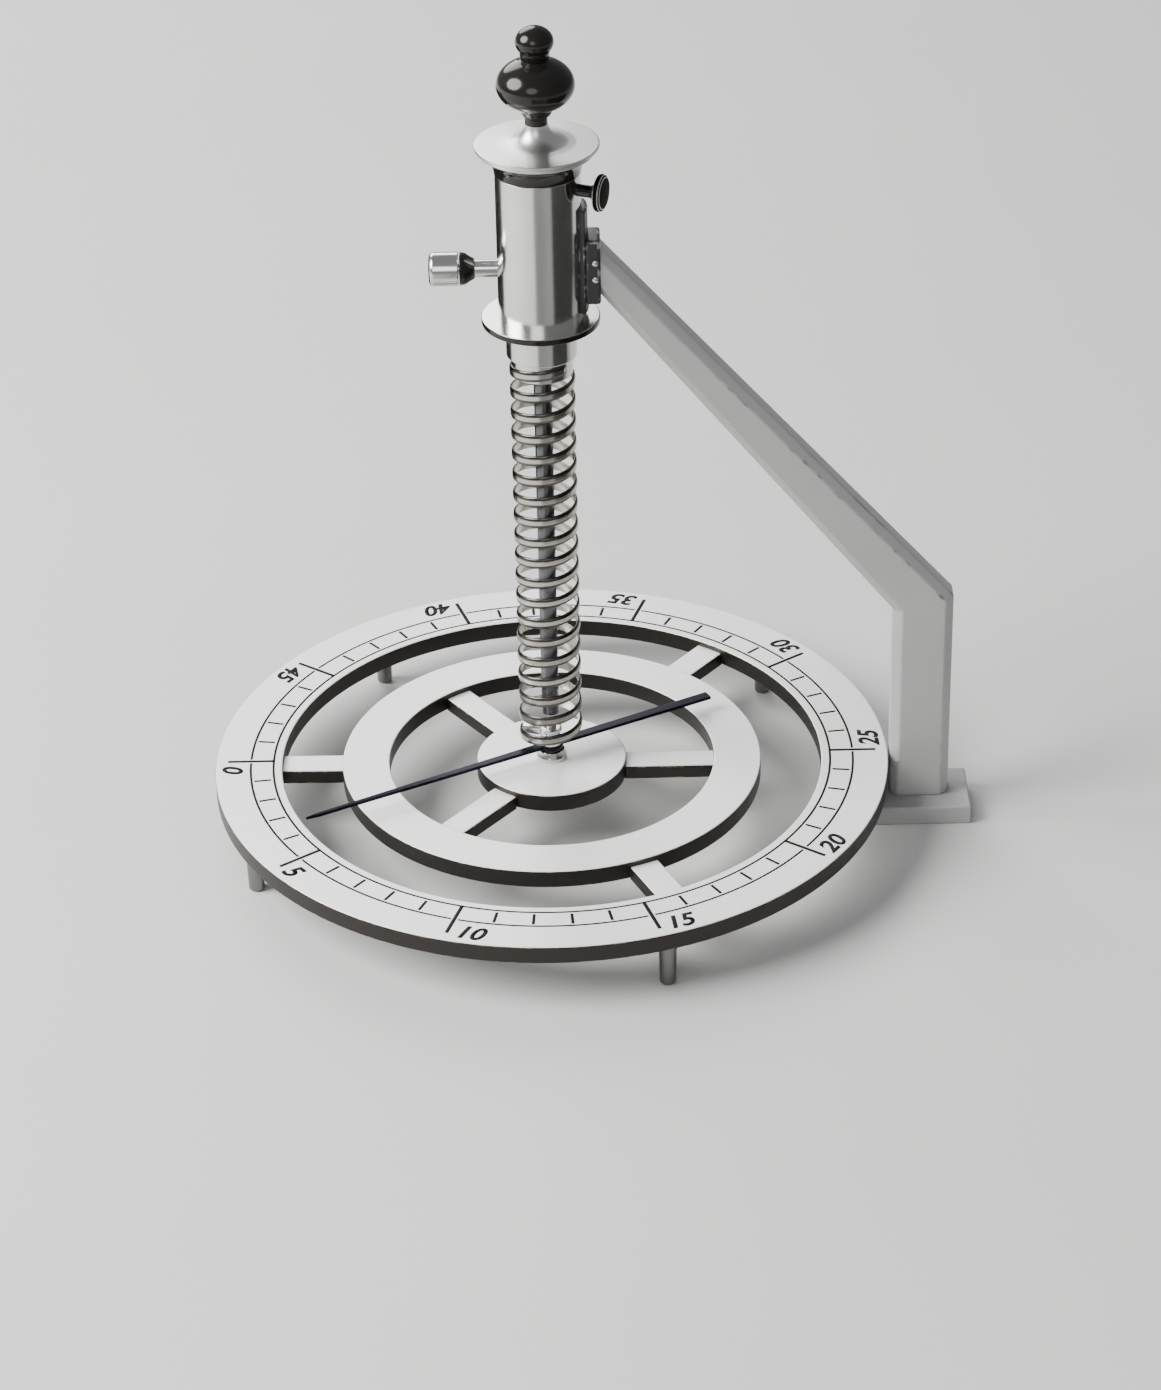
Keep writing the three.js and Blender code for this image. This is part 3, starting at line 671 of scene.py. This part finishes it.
bmesh.ops.bevel(
    bar,
    geom=[edge for edge in bar.edges if long_front_edge(edge)],
    offset=CHAMFER,
    offset_type="OFFSET",
    affect="EDGES",
    segments=1,
    profile=0.5,
    material=-1,
)
soften(bar, 0.45 * MM, 20.0, 3)
fit("bent_bracket", bar, enamel, "stand", ["bracket_bar"])


# ---------------------------------------------------------------- lug on the column
# A curved saddle is brazed to the column, with a block on it that the arm's end enters.
# Two steel pins driven through from the side hold the arm in the block.
lug_low, lug_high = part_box("column_lug")
sleeve_low, sleeve_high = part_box("sleeve")
sleeve_radius = (sleeve_high.x - sleeve_low.x) / 2
lug_width = lug_high.y - lug_low.y
saddle_outer = sleeve_radius + 1.3 * MM
saddle = bmesh.new()
spread = math.asin(lug_width / 2 / saddle_outer)
start = Matrix.Rotation(-spread, 3, "Z")
saddle_profile = ring_profile(sleeve_radius - 0.2 * MM, saddle_outer, lug_low.z, lug_high.z)
corners = [dial_axis + start @ Vector((r, 0, z)) for r, z in saddle_profile]
face = saddle.faces.new([saddle.verts.new(corner) for corner in corners])
bmesh.ops.spin(saddle, geom=[face], cent=dial_axis, axis=UP, angle=2 * spread, steps=16)
block_low = dial_top + 120.4 * MM
block_high = dial_top + 136 * MM
block_start = sleeve_radius + 0.6 * MM
lug = soften(block(block_start, arm_end + 0.4 * MM, lug_width, block_low, block_high), 0.7 * MM)
# The saddle and block are enamelled near-black as painted shade from the column.
shade_black_iron = enamelled("shade_black_iron", 0.03)
fit("column_saddle", soften(saddle, 0.35 * MM), shade_black_iron, "stand", ["column_lug"])
fit("lug_block", lug, shade_black_iron, "stand", [])

for i in (1, 2):
    low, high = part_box(f"lug_pin_{i}")
    centre = (low + high) / 2
    pin_radius = (high.x - low.x) / 2
    half = (high.y - low.y) / 2
    dome = 0.25 * MM
    profile = [
        (0, -half - dome),
        (pin_radius * 0.6, -half - dome * 0.7),
        (pin_radius, -half),
        (pin_radius, half),
        (pin_radius * 0.6, half + dome * 0.7),
        (0, half + dome),
    ]
    pin = turned(profile, 32)
    lay = Matrix.Rotation(math.pi / 2, 3, "X")
    bmesh.ops.rotate(pin, cent=dial_axis, matrix=lay, verts=pin.verts)
    bmesh.ops.translate(pin, vec=centre - dial_axis, verts=pin.verts)
    soften(pin, 0.08 * MM, segments=2)
    pin_steel = bright(f"steel_pin_{i}", centre, (0, 1, 0))
    fit(f"driven_pin_{i}", pin, pin_steel, "stand", [f"lug_pin_{i}"])


# ---------------------------------------------------------------- sleeve and flange
# The column is a length of drawn brass tube, nickelled and polished, with a turned flange
# brazed round its lower end. The flange is lacquered black round its rim as painted shade.
bore = 7.6 * MM
tube = turned(ring_profile(bore, sleeve_radius, sleeve_low.z - 0.4 * MM, sleeve_high.z), 160)
fit("column_tube", soften(tube, 0.12 * MM, segments=2), nickel, "stand", ["sleeve"])
flange_low, flange_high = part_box("lower_flange")
flange_radius = (flange_high.x - flange_low.x) / 2
flange = turned(ring_profile(bore, flange_radius, flange_low.z, flange_high.z), 160)


def black_lacquer(name):
    """Blackened brass under a hard, glossy lacquer, with rubbed edges."""
    finish = Finish(name, IOR=1.4)
    smears = finish.noise(160, 4.0)
    rubbed = (finish.wear() * (finish.noise(600) - 0.52) * 4.0).clamped() * 0.3
    black = finish.mix(smears, color(0.006, 0.0055, 0.005), color(0.014, 0.012, 0.010))
    finish.set("Base Color", finish.mix(rubbed, black, color(0.30, 0.21, 0.10)))
    finish.set("Metallic", rubbed)
    finish.set("Roughness", 0.1 + smears * 0.08)
    finish.bump(smears, 0.004 * MM)
    return finish.material


# Black lacquer for the collar and finial, also used as painted shade on the flange's rim and the cap's
# skirt and neck.
lacquer_and_painted_shade = black_lacquer("black_lacquer")


# The flange's rim faces, which take the black lacquer as painted shade.
def outer_edge(face):
    middle = face.calc_center_median() - dial_axis
    return abs(face.normal.z) < 0.75 and math.hypot(middle.x, middle.y) > sleeve_radius + 1 * MM


fit(
    "column_flange",
    soften(flange, 0.3 * MM, segments=4),
    nickel,
    "stand",
    ["lower_flange"],
    second=lacquer_and_painted_shade,
    where=outer_edge,
)


# ---------------------------------------------------------------- terminal
# A brass stud screwed into the column carries a binding nut: a black tapered collar, and a
# plain round knob that clamps the wire between them.
def laid(shape, direction, height):
    """Lays a shape that was turned upright along a level direction, at that height."""
    turn = UP.rotation_difference(direction).to_matrix()
    bmesh.ops.rotate(shape, cent=dial_axis, matrix=turn, verts=shape.verts)
    bmesh.ops.translate(shape, vec=UP * height, verts=shape.verts)
    return shape


left = Vector((-1, 0, 0))
stud_low, stud_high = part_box("terminal_stud")
terminal_z = (stud_low.z + stud_high.z) / 2
stud_radius = (stud_high.z - stud_low.z) / 2
collar_low, collar_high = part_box("terminal_collar")
collar_start = dial_axis.x - collar_high.x
knob_low, knob_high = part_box("terminal_knob")
knob_start = dial_axis.x - knob_high.x
knob_end = dial_axis.x - knob_low.x
knob_radius = (knob_high.z - knob_low.z) / 2
stud_nickel = nickelled("nickel_terminal", Vector((dial_axis.x, 0, terminal_z)), left)
thread = stud_radius * 0.65
stud = turned(
    [
        (0, sleeve_radius - 0.6 * MM),
        (stud_radius, sleeve_radius - 0.6 * MM),
        (stud_radius, collar_start),
        (thread, collar_start),
        (thread, dial_axis.x - stud_low.x),
        (0, dial_axis.x - stud_low.x),
    ],
    64,
)
laid(soften(stud, 0.15 * MM), left, terminal_z)
fit("binding_stud", stud, stud_nickel, "stand", ["terminal_stud"])
collar = turned(
    [
        (thread * 1.15, collar_start),
        (stud_radius * 1.15, collar_start),
        (knob_radius * 0.72, collar_start + 0.9 * MM),
        (knob_radius * 0.93, collar_start + 2.1 * MM),
        (knob_radius * 0.98, knob_start - 0.25 * MM),
        (thread * 1.15, knob_start - 0.25 * MM),
    ],
    80,
)
laid(soften(collar, 0.2 * MM), left, terminal_z)
fit("black_collar", collar, lacquer_and_painted_shade, "binding_collar", ["terminal_collar"])
knob = turned(
    [
        (thread * 1.15, knob_start),
        (knob_radius, knob_start),
        (knob_radius, knob_end - 1.0 * MM),
        (knob_radius * 0.93, knob_end - 0.5 * MM),
        (knob_radius * 0.75, knob_end - 0.15 * MM),
        (0, knob_end),
        (0, dial_axis.x - stud_low.x + 0.6 * MM),
        (thread * 1.15, dial_axis.x - stud_low.x + 0.6 * MM),
    ],
    96,
)
laid(soften(knob, 0.2 * MM), left, terminal_z)
fit("binding_nut", knob, stud_nickel, "binding_knob", ["terminal_knob"])


# ---------------------------------------------------------------- clamp screw
# A small thumb screw through the sleeve's wall locks the torsion head. Its head is a thick
# disc, near-black as painted shade with a bright rim as a painted highlight, on a black
# lacquered shank.
head_low, head_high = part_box("clamp_head")
head_middle = (head_low + head_high) / 2
clamp_z = head_middle.z
reach = Vector((head_middle.x - dial_axis.x, head_middle.y, 0))
clamp_way = reach.normalized()
head_radius = (head_high.z - head_low.z) / 2
head_half = 1.0 * MM
shank_low, shank_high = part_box("clamp_shank")
shank_radius = (shank_high.z - shank_low.z) / 2
inner_face = reach.length - head_half
outer_face = reach.length + head_half
shank = turned(
    [
        (0, sleeve_radius - 1.8 * MM),
        (shank_radius, sleeve_radius - 1.8 * MM),
        (shank_radius, inner_face - 1.2 * MM),
        (shank_radius * 1.3, inner_face - 0.6 * MM),
        (shank_radius * 1.3, inner_face - 0.05 * MM),
        (0, inner_face - 0.05 * MM),
    ],
    48,
)
laid(soften(shank, 0.12 * MM), clamp_way, clamp_z)
shank_black = black_lacquer("blackened_shank")
fit("thumb_screw_shank", shank, shank_black, "clamp_screw_shank", ["clamp_shank"])


def dull_black(name):
    """Near-black with almost no gloss as painted shade, and a bright metal rim as a painted highlight.
    """
    finish = Finish(name, IOR=1.06)
    soot = finish.noise(500, 4.0)
    # The bright metal on the marked rim faces is a painted highlight.
    rubbed = finish.wear() * (0.55 + finish.noise(700) * 0.4)
    black = color(0.005, 0.005, 0.005)
    finish.set("Base Color", finish.mix(rubbed, black, color(0.62, 0.60, 0.56)))
    finish.set("Metallic", rubbed)
    finish.set("Roughness", 0.42 - rubbed * 0.2 + soot * 0.08)
    finish.bump(soot, 0.006 * MM)
    return finish.material


head = turned(
    [
        (0, inner_face),
        (head_radius * 0.75, inner_face),
        (head_radius * 0.96, inner_face + 0.35 * MM),
        (head_radius, inner_face + 0.9 * MM),
        (head_radius * 0.97, outer_face - 0.45 * MM),
        (head_radius * 0.85, outer_face - 0.1 * MM),
        (0, outer_face),
    ],
    96,
)
laid(soften(head, 0.15 * MM), clamp_way, clamp_z)
head_shade_and_highlight = dull_black("shade_black_head")
fit("thumb_screw_head", head, head_shade_and_highlight, "clamp_screw_head", ["clamp_head"])


# ---------------------------------------------------------------- torsion head
# The cap turns in the sleeve to set the zero. It is turned from one bar and left satin: a
# tapered skirt, a thin rim with a bead under it, and a flare that sweeps up to the neck. The
# skirt and the neck are lacquered black as painted shade.
def arc(radius, half_height, height, start, end, steps):
    """Points of (radius, height) along an ellipse, from one angle to another in degrees."""
    angles = [math.radians(start + (end - start) * i / steps) for i in range(steps + 1)]
    return [(radius * math.cos(a), height + half_height * math.sin(a)) for a in angles]


cap_low, cap_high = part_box("cap")
cap_radius = (cap_high.x - cap_low.x) / 2
rim = dial_top + 158 * MM
neck_z = dial_top + 163.2 * MM
neck_radius = 2.5 * MM
flare_foot = 7.9 * MM
flare_rise = neck_z - rim - 0.25 * MM
FLARE_STEPS = 14
quarter = [math.radians(90 * i / FLARE_STEPS) for i in range(FLARE_STEPS + 1)]
flare = [
    (flare_foot - (flare_foot - neck_radius) * math.sin(a), neck_z - flare_rise * math.cos(a))
    for a in quarter
]
bead = arc(0.45 * MM, 0.45 * MM, 0, -80, 80, 6)
cap_profile = [
    (0, cap_low.z - 0.2 * MM),
    (sleeve_radius + 0.15 * MM, cap_low.z - 0.2 * MM),
    (sleeve_radius + 0.5 * MM, cap_low.z + 1.6 * MM),
    (sleeve_radius + 1.5 * MM, cap_low.z + 3.4 * MM),
    (cap_radius - 1.35 * MM, rim - 2.0 * MM),
    *[(cap_radius - 1.2 * MM + r, rim - 1.45 * MM + z) for r, z in bead],
    (cap_radius - 1.1 * MM, rim - 0.95 * MM),
    (cap_radius, rim - 0.75 * MM),
    (cap_radius, rim - 0.1 * MM),
    (cap_radius - 0.3 * MM, rim),
    (flare_foot + 1.2 * MM, rim + 0.08 * MM),
    *flare,
    (neck_radius, cap_high.z + 0.2 * MM),
    (0, cap_high.z + 0.2 * MM),
]
cap = soften(turned(cap_profile, 160), 0.1 * MM, 40.0, 2)


def skirt_or_neck(face):
    """The tapered skirt up to the bead, and the neck above the flare, which take black as painted
    shade.
    """
    height = face.calc_center_median().z
    return height < rim - 1.95 * MM or height > neck_z - 0.5 * MM


satin_nickel = nickelled("satin_nickel_cap", dial_axis, UP, rough=0.3)
fit(
    "flared_cap",
    cap,
    satin_nickel,
    "torsion_head",
    ["cap"],
    second=lacquer_and_painted_shade,
    where=skirt_or_neck,
)


# ---------------------------------------------------------------- finial
# Two blackened balls crown the head: a flattened one to turn it by, and a small button that
# is screwed down on it. A steel stud runs through both into the plug.
ball_low, ball_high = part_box("finial_ball")
ball_radius = (ball_high.x - ball_low.x) / 2
ball_z = dial_top + 171.7 * MM
ball_half = 6 * MM
ball = turned(
    [
        (0, ball_low.z - 0.15 * MM),
        (3.2 * MM, ball_low.z - 0.15 * MM),
        (3.5 * MM, ball_low.z + 0.4 * MM),
        *arc(ball_radius, ball_half, ball_z, -62, 66, 40),
        (3.1 * MM, ball_high.z),
        (0, ball_high.z),
    ],
    128,
)
soften(ball, 0.12 * MM, 30.0, 2)
fit("finial_lower_ball", ball, lacquer_and_painted_shade, "torsion_head", ["finial_ball"])
button_low, button_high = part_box("finial_button")
button_radius = (button_high.x - button_low.x) / 2
button_z = dial_top + 181.6 * MM
button = turned(
    [
        (0, button_low.z - 0.3 * MM),
        (3.15 * MM, button_low.z - 0.3 * MM),
        *arc(button_radius, button_high.z - button_z, button_z, -38, 90, 32)[:-1],
        (0, button_high.z),
    ],
    96,
)
soften(button, 0.1 * MM, 34.0, 2)
fit("finial_top_button", button, lacquer_and_painted_shade, "torsion_head", ["finial_button"])
stud_steel = bright("steel_head_stud", dial_axis, UP)


# ---------------------------------------------------------------- plug, collar and rod
# Under the flange the head shows a smooth nickelled collar. Inside the helix a straight rod of
# steel, darkened as painted shade, hangs from the plug and keeps the needle's staff upright.
def plain_node(node, finish):
    """A hidden piece whose own solid is right keeps it, and takes a proper finish."""
    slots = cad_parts[node].data.materials
    slots.clear()
    slots.append(finish)


plain_node("finial_stud", stud_steel)
plain_node("head_plug", nickel)
neck_low, neck_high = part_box("head_collar")
neck_outer = (neck_high.x - neck_low.x) / 2
neck_collar = turned(ring_profile(5.2 * MM, neck_outer, neck_low.z, neck_high.z + 0.2 * MM), 128)
soften(neck_collar, 0.35 * MM, segments=4)
fit("smooth_collar", neck_collar, nickel, "torsion_head", ["head_collar"])
anchor_low, anchor_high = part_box("helix_anchor")
anchor_outer = (anchor_high.x - anchor_low.x) / 2 + 0.3 * MM
anchor = turned(ring_profile(5.1 * MM, anchor_outer, anchor_low.z, anchor_high.z + 0.4 * MM), 96)
soften(anchor, 0.15 * MM)
fit("helix_top_ring", anchor, nickel, "torsion_head", ["helix_anchor"])
rod_low, rod_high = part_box("guide_rod")
rod_radius = (rod_high.x - rod_low.x) / 2
rod_bore = 1.2 * MM
bore_top = rod_low.z + 6 * MM
rod_profile = [
    (0, rod_high.z),
    (rod_radius, rod_high.z),
    (rod_radius, rod_low.z),
    (rod_bore, rod_low.z),
    (rod_bore, bore_top),
    (0, bore_top),
]
shade_darkened_rod_steel = bright("shade_darkened_guide_rod", dial_axis, UP, tone=0.22)
rod = soften(turned(rod_profile, 64), 0.2 * MM)
fit("guide_rod_steel", rod, shade_darkened_rod_steel, "torsion_head", ["guide_rod"])


# ---------------------------------------------------------------- helix
# One long ribbon of two metals rolled together is wound on a mandrel; its outer face and its
# edges are painted dark as painted shade. The top is fixed to the head and the bottom to the
# needle, so that its whole length twists.
helix_low, helix_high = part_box("helix")
helix_outer = (helix_high.x - helix_low.x) / 2
helix_inner = helix_outer - 0.6 * MM
ribbon_half = 1.3 * MM
pitch = 5.33 * MM
rise = (helix_high.z - helix_low.z) - 2 * ribbon_half
turns = rise / pitch
start_angle = math.radians(164.6)
STEPS_PER_TURN = 60


def rolled(name):
    """Bright rolled ribbon: fine lines along its length, a straw tint from its first heating, and
    painted shade where its attribute is high.
    """
    finish = Finish(name, Metallic=1.0)
    product = {"operation": "MULTIPLY"}
    stretch = {0: finish.place(), 1: (40.0, 40.0, 4200.0)}
    scratches = finish.noise(1.0, 3.0, finish.node("ShaderNodeVectorMath", product, stretch))
    tint = finish.noise(60, 4.0)
    straw = finish.mix(tint * 0.8, color(0.74, 0.73, 0.70), color(0.62, 0.56, 0.45))
    # Where the attribute is high the ribbon is painted near-black as painted shade.
    finish.set("Base Color", finish.mix(finish.wear() * 0.92, straw, color(0.03, 0.027, 0.024)))
    finish.set("Roughness", 0.17 + scratches * 0.14)
    finish.bump(scratches, 0.004 * MM)
    return finish.material


# Half of the ribbon's section, from the middle of its outer face round its edge to its inner
# face: radius, height above the middle, and how dark it is painted as shade.
half_section = [
    (helix_outer - 0.01 * MM, 0.34 * ribbon_half, 0.35),
    (helix_outer - 0.03 * MM, 0.46 * ribbon_half, 1.0),
    (helix_outer - 0.14 * MM, 0.82 * ribbon_half, 1.0),
    (helix_inner + 0.26 * MM, 0.98 * ribbon_half, 1.0),
    (helix_inner + 0.1 * MM, ribbon_half, 1.0),
    (helix_inner, 0.93 * ribbon_half, 0.0),
]
section = half_section + [(radius, -height, black) for radius, height, black in reversed(half_section)]
ribbon = bmesh.new()
ribbon_painted_shade = ribbon.verts.layers.float.new("wear")
turn_start = Matrix.Rotation(start_angle, 3, "Z")
foot_z = helix_low.z + ribbon_half
verts = [ribbon.verts.new(dial_axis + turn_start @ Vector((r, 0, foot_z + z))) for r, z, _ in section]
for vert, (_, _, black) in zip(verts, section):
    vert[ribbon_painted_shade] = black
steps = round(turns * STEPS_PER_TURN)
bmesh.ops.spin(
    ribbon,
    geom=[ribbon.faces.new(verts)],
    cent=dial_axis,
    axis=UP,
    dvec=UP * (rise / steps),
    angle=2 * math.pi * turns,
    steps=steps,
)
bmesh.ops.recalc_face_normals(ribbon, faces=ribbon.faces)
helix = fit("ribbon_helix", ribbon, rolled("rolled_bimetal"), None, ["helix"])
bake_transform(helix)


# ---------------------------------------------------------------- pivot
# The needle's steel point stands in an agate jewel. The jewel is set in a low brass cup, turned
# and nickelled, which is soldered to the middle of the disc.
def agate(name):
    """Polished red-brown agate with fine bands."""
    finish = Finish(name, IOR=1.54)
    ripple = {"Vector": finish.place(), "Scale": 900.0, "Distortion": 6.0}
    bands = finish.node("ShaderNodeTexWave", None, ripple)
    warm = finish.mix(bands, color(0.30, 0.07, 0.03), color(0.55, 0.24, 0.12))
    finish.set("Base Color", warm)
    finish.set("Roughness", 0.06 + bands * 0.04)
    return finish.material


plain_node("pivot_jewel", agate("red_agate"))
cup_low, cup_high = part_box("pivot_cup")
cup_radius = (cup_high.x - cup_low.x) / 2
cup_bore = 1.9 * MM
cup = turned(
    [
        (0, dial_top - 0.1 * MM),
        (cup_radius, dial_top - 0.1 * MM),
        (cup_radius, cup_low.z + 0.5 * MM),
        (cup_radius * 0.9, cup_low.z + 1.1 * MM),
        (cup_radius * 0.86, cup_high.z),
        (cup_bore, cup_high.z),
        (cup_bore, cup_low.z + 0.6 * MM),
        (0, cup_low.z + 0.6 * MM),
    ],
    96,
)
fit("pivot_cup_turned", soften(cup, 0.12 * MM), nickel, "stand", ["pivot_cup"])


# ---------------------------------------------------------------- needle and staff
# A long blade of blued steel is riveted at its eye to a brass hub on the staff. A short arm
# from the hub grips the ribbon's lower end.
def blued(name):
    """Steel tempered blue-black over a flame, paler where fingers have rubbed it."""
    finish = Finish(name, Metallic=0.95)
    heat = finish.noise(50, 3.0)
    grain = finish.noise(1800, 2.0)
    rubbed = (finish.wear() * (finish.noise(300) - 0.55) * 3.0).clamped() * 0.4
    blue = finish.mix(heat, color(0.006, 0.007, 0.014), color(0.011, 0.010, 0.018))
    finish.set("Base Color", finish.mix(rubbed, blue, color(0.22, 0.22, 0.24)))
    finish.set("Roughness", 0.24 + grain * 0.12)
    finish.bump(grain, 0.004 * MM)
    return finish.material


needle_low, needle_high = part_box("needle")
tip = Vector((needle_low.x - dial_axis.x, needle_low.y, 0))
tail = Vector((needle_high.x - dial_axis.x, needle_high.y, 0))
staff_low, staff_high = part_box("needle_staff")
staff_radius = (staff_high.x - staff_low.x) / 2
blade_points = [
    (-tail.length, -1.3 * MM),
    (0, -1.15 * MM),
    (tip.length - 3 * MM, -0.42 * MM),
    (tip.length, 0),
    (tip.length - 3 * MM, 0.42 * MM),
    (0, 1.15 * MM),
    (-tail.length, 1.3 * MM),
]
blade = bmesh.new()
corners = [dial_axis + Vector((x, y, needle_low.z)) for x, y in blade_points]
flat = blade.faces.new([blade.verts.new(corner) for corner in corners])
raised = bmesh.ops.extrude_face_region(blade, geom=[flat])
lifted = [part for part in raised["geom"] if isinstance(part, bmesh.types.BMVert)]
bmesh.ops.translate(blade, vec=UP * (needle_high.z - needle_low.z), verts=lifted)
soften(blade, 0.12 * MM, 28.0, 2)
needle_turn = Matrix.Rotation(math.atan2(tip.y, tip.x), 3, "Z")
bmesh.ops.rotate(blade, cent=dial_axis, matrix=needle_turn, verts=blade.verts)
blue_steel = blued("blued_steel")
fit("needle_blade", blade, blue_steel, "needle_assembly", ["needle"])
proud = 0.1 * MM
eye = turned(ring_profile(staff_radius, 2.8 * MM, needle_low.z - proud, needle_high.z + proud), 64)
fit("needle_eye", soften(eye, 0.15 * MM), blue_steel, "needle_assembly", [])

hub_low, hub_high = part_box("needle_hub")
hub_radius = (hub_high.x - hub_low.x) / 2
hub = turned(
    [
        (staff_radius, needle_high.z),
        (hub_radius, needle_high.z),
        (hub_radius, hub_low.z + 1.2 * MM),
        (hub_radius * 0.8, hub_low.z + 1.7 * MM),
        (hub_radius * 0.8, hub_high.z - 1.3 * MM),
        (hub_radius, hub_high.z - 0.8 * MM),
        (hub_radius, hub_high.z),
        (staff_radius, hub_high.z),
    ],
    80,
)
soften(hub, 0.12 * MM)
fit("needle_hub_turned", hub, nickel, "needle_assembly", ["needle_hub"])
point = staff_low.z
staff = turned(
    [
        (0, point),
        (staff_radius, point + 1.5 * MM),
        (staff_radius, hub_high.z + 1.2 * MM),
        (staff_radius * 0.75, hub_high.z + 1.5 * MM),
        (staff_radius * 0.75, staff_high.z),
        (0, staff_high.z),
    ],
    48,
)
staff_steel = bright("steel_staff", dial_axis, UP)
soften(staff, 0.1 * MM, 40.0)
fit("needle_staff_turned", staff, staff_steel, "needle_assembly", ["needle_staff"])

arm_low, arm_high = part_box("helix_foot")
GRIP_WIDTH = 2.2 * MM
grip_start = hub_radius - 0.3 * MM
grip_end = helix_inner + 0.1 * MM
arm = soften(block(grip_start, grip_end, GRIP_WIDTH, arm_low.z, arm_high.z), 0.25 * MM)
bmesh.ops.rotate(arm, cent=dial_axis, matrix=turn_start, verts=arm.verts)
fit("ribbon_grip", arm, nickel, "needle_assembly", ["helix_foot"])


# ---------------------------------------------------------------- studio
# A plain pale floor, a large soft key from the left, a softbox behind and a weak fill in front.
# Black and grey cards round the column show only in the polished metal.
floor_finish = Finish("pale_floor", Metallic=0.0)
mottle = floor_finish.noise(9, 3.0)
pale = color(0.68, 0.675, 0.66)
floor_finish.set("Base Color", floor_finish.mix(mottle, pale, color(0.64, 0.635, 0.62)))
floor_finish.set("Roughness", 0.7 + mottle * 0.1)
floor_shape = bmesh.new()
bmesh.ops.create_grid(floor_shape, x_segments=1, y_segments=1, size=12.0)
floor_mesh = bpy.data.meshes.new("studio_floor")
floor_shape.to_mesh(floor_mesh)
floor_shape.free()
floor_mesh.materials.append(floor_finish.material)
floor = bpy.data.objects.new("studio_floor", floor_mesh)
bpy.context.scene.collection.objects.link(floor)
floor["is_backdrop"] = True

FLAG_RADIUS = 0.145
FLAG_HEIGHT = 0.13
black_card = Finish("black_card", Roughness=0.9, Base_Color=color(0.01, 0.01, 0.01))
grey_card = Finish("grey_card", Roughness=0.9, Base_Color=color(0.28, 0.28, 0.28))


def flag(name, card_finish, start, end):
    """A curved card round the column, seen only in reflections."""
    shape = bmesh.new()
    a = math.radians(start)
    way = Vector((math.sin(a), -math.cos(a), 0))
    foot = shape.verts.new(dial_axis + way * FLAG_RADIUS)
    top = shape.verts.new(dial_axis + way * FLAG_RADIUS + UP * FLAG_HEIGHT)
    edge = shape.edges.new((foot, top))
    sweep = math.radians(end - start)
    bmesh.ops.spin(shape, geom=[foot, top, edge], cent=dial_axis, axis=UP, angle=sweep, steps=24)
    mesh = bpy.data.meshes.new(name)
    shape.to_mesh(mesh)
    shape.free()
    mesh.materials.append(card_finish.material)
    card = bpy.data.objects.new(name, mesh)
    bpy.context.scene.collection.objects.link(card)
    card.visible_camera = False
    card.visible_diffuse = False
    card.visible_shadow = False
    card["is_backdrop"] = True


flag("flag_front", grey_card, -12, 34)
flag("flag_right", black_card, 34, 102)
flag("flag_left", black_card, -165, -112)


def lamp(name, place, target, size, power):
    data = bpy.data.lights.new(name, "AREA")
    data.shape = "DISK"
    data.size = size
    data.energy = power
    made = bpy.data.objects.new(name, data)
    made.location = place
    made.rotation_mode = "QUATERNION"
    made.rotation_quaternion = (Vector(target) - Vector(place)).to_track_quat("-Z", "Y")
    bpy.context.scene.collection.objects.link(made)


middle = (0, 0, 0.09)
lamp("key", (-1.0, -0.2, 0.85), middle, 0.95, 40)
lamp("back_softbox", (-0.5, 1.3, 0.9), middle, 1.1, 18)
lamp("fill", (-0.3, -1.5, 0.9), middle, 0.9, 6)
world = bpy.data.worlds.new("studio_world")
world.use_nodes = True
sky = world.node_tree.nodes["Background"].inputs
sky["Color"].default_value = color(0.95, 0.97, 1.0)
sky["Strength"].default_value = 0.3
bpy.context.scene.world = world


# ---------------------------------------------------------------- camera
# It stands in front, a little right of the dial's axis, and looks down at the dial with a
# slight tilt. A long lens keeps the dial's circles nearly true.
PITCH = math.radians(31.294)
ROLL = math.radians(1.15)
rightward = Vector((1, 0, 0))
upward = Vector((0, math.sin(PITCH), math.cos(PITCH)))
backward = Vector((0, -math.cos(PITCH), math.sin(PITCH)))
camera_right = rightward * math.cos(ROLL) - upward * math.sin(ROLL)
camera_up = rightward * math.sin(ROLL) + upward * math.cos(ROLL)
camera_data = bpy.data.cameras.new("studio_camera")
camera_data.lens = 105.7
camera_data.sensor_width = 36
camera = bpy.data.objects.new("studio_camera", camera_data)
stand_off = Vector((0.0893, -10.300, 6.470)) * dial_radius
turn = Matrix((camera_right, camera_up, backward)).transposed().to_4x4()
camera.matrix_world = Matrix.Translation(dial_axis + UP * dial_top + stand_off) @ turn
bpy.context.scene.collection.objects.link(camera)
bpy.context.scene.camera = camera

low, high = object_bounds()
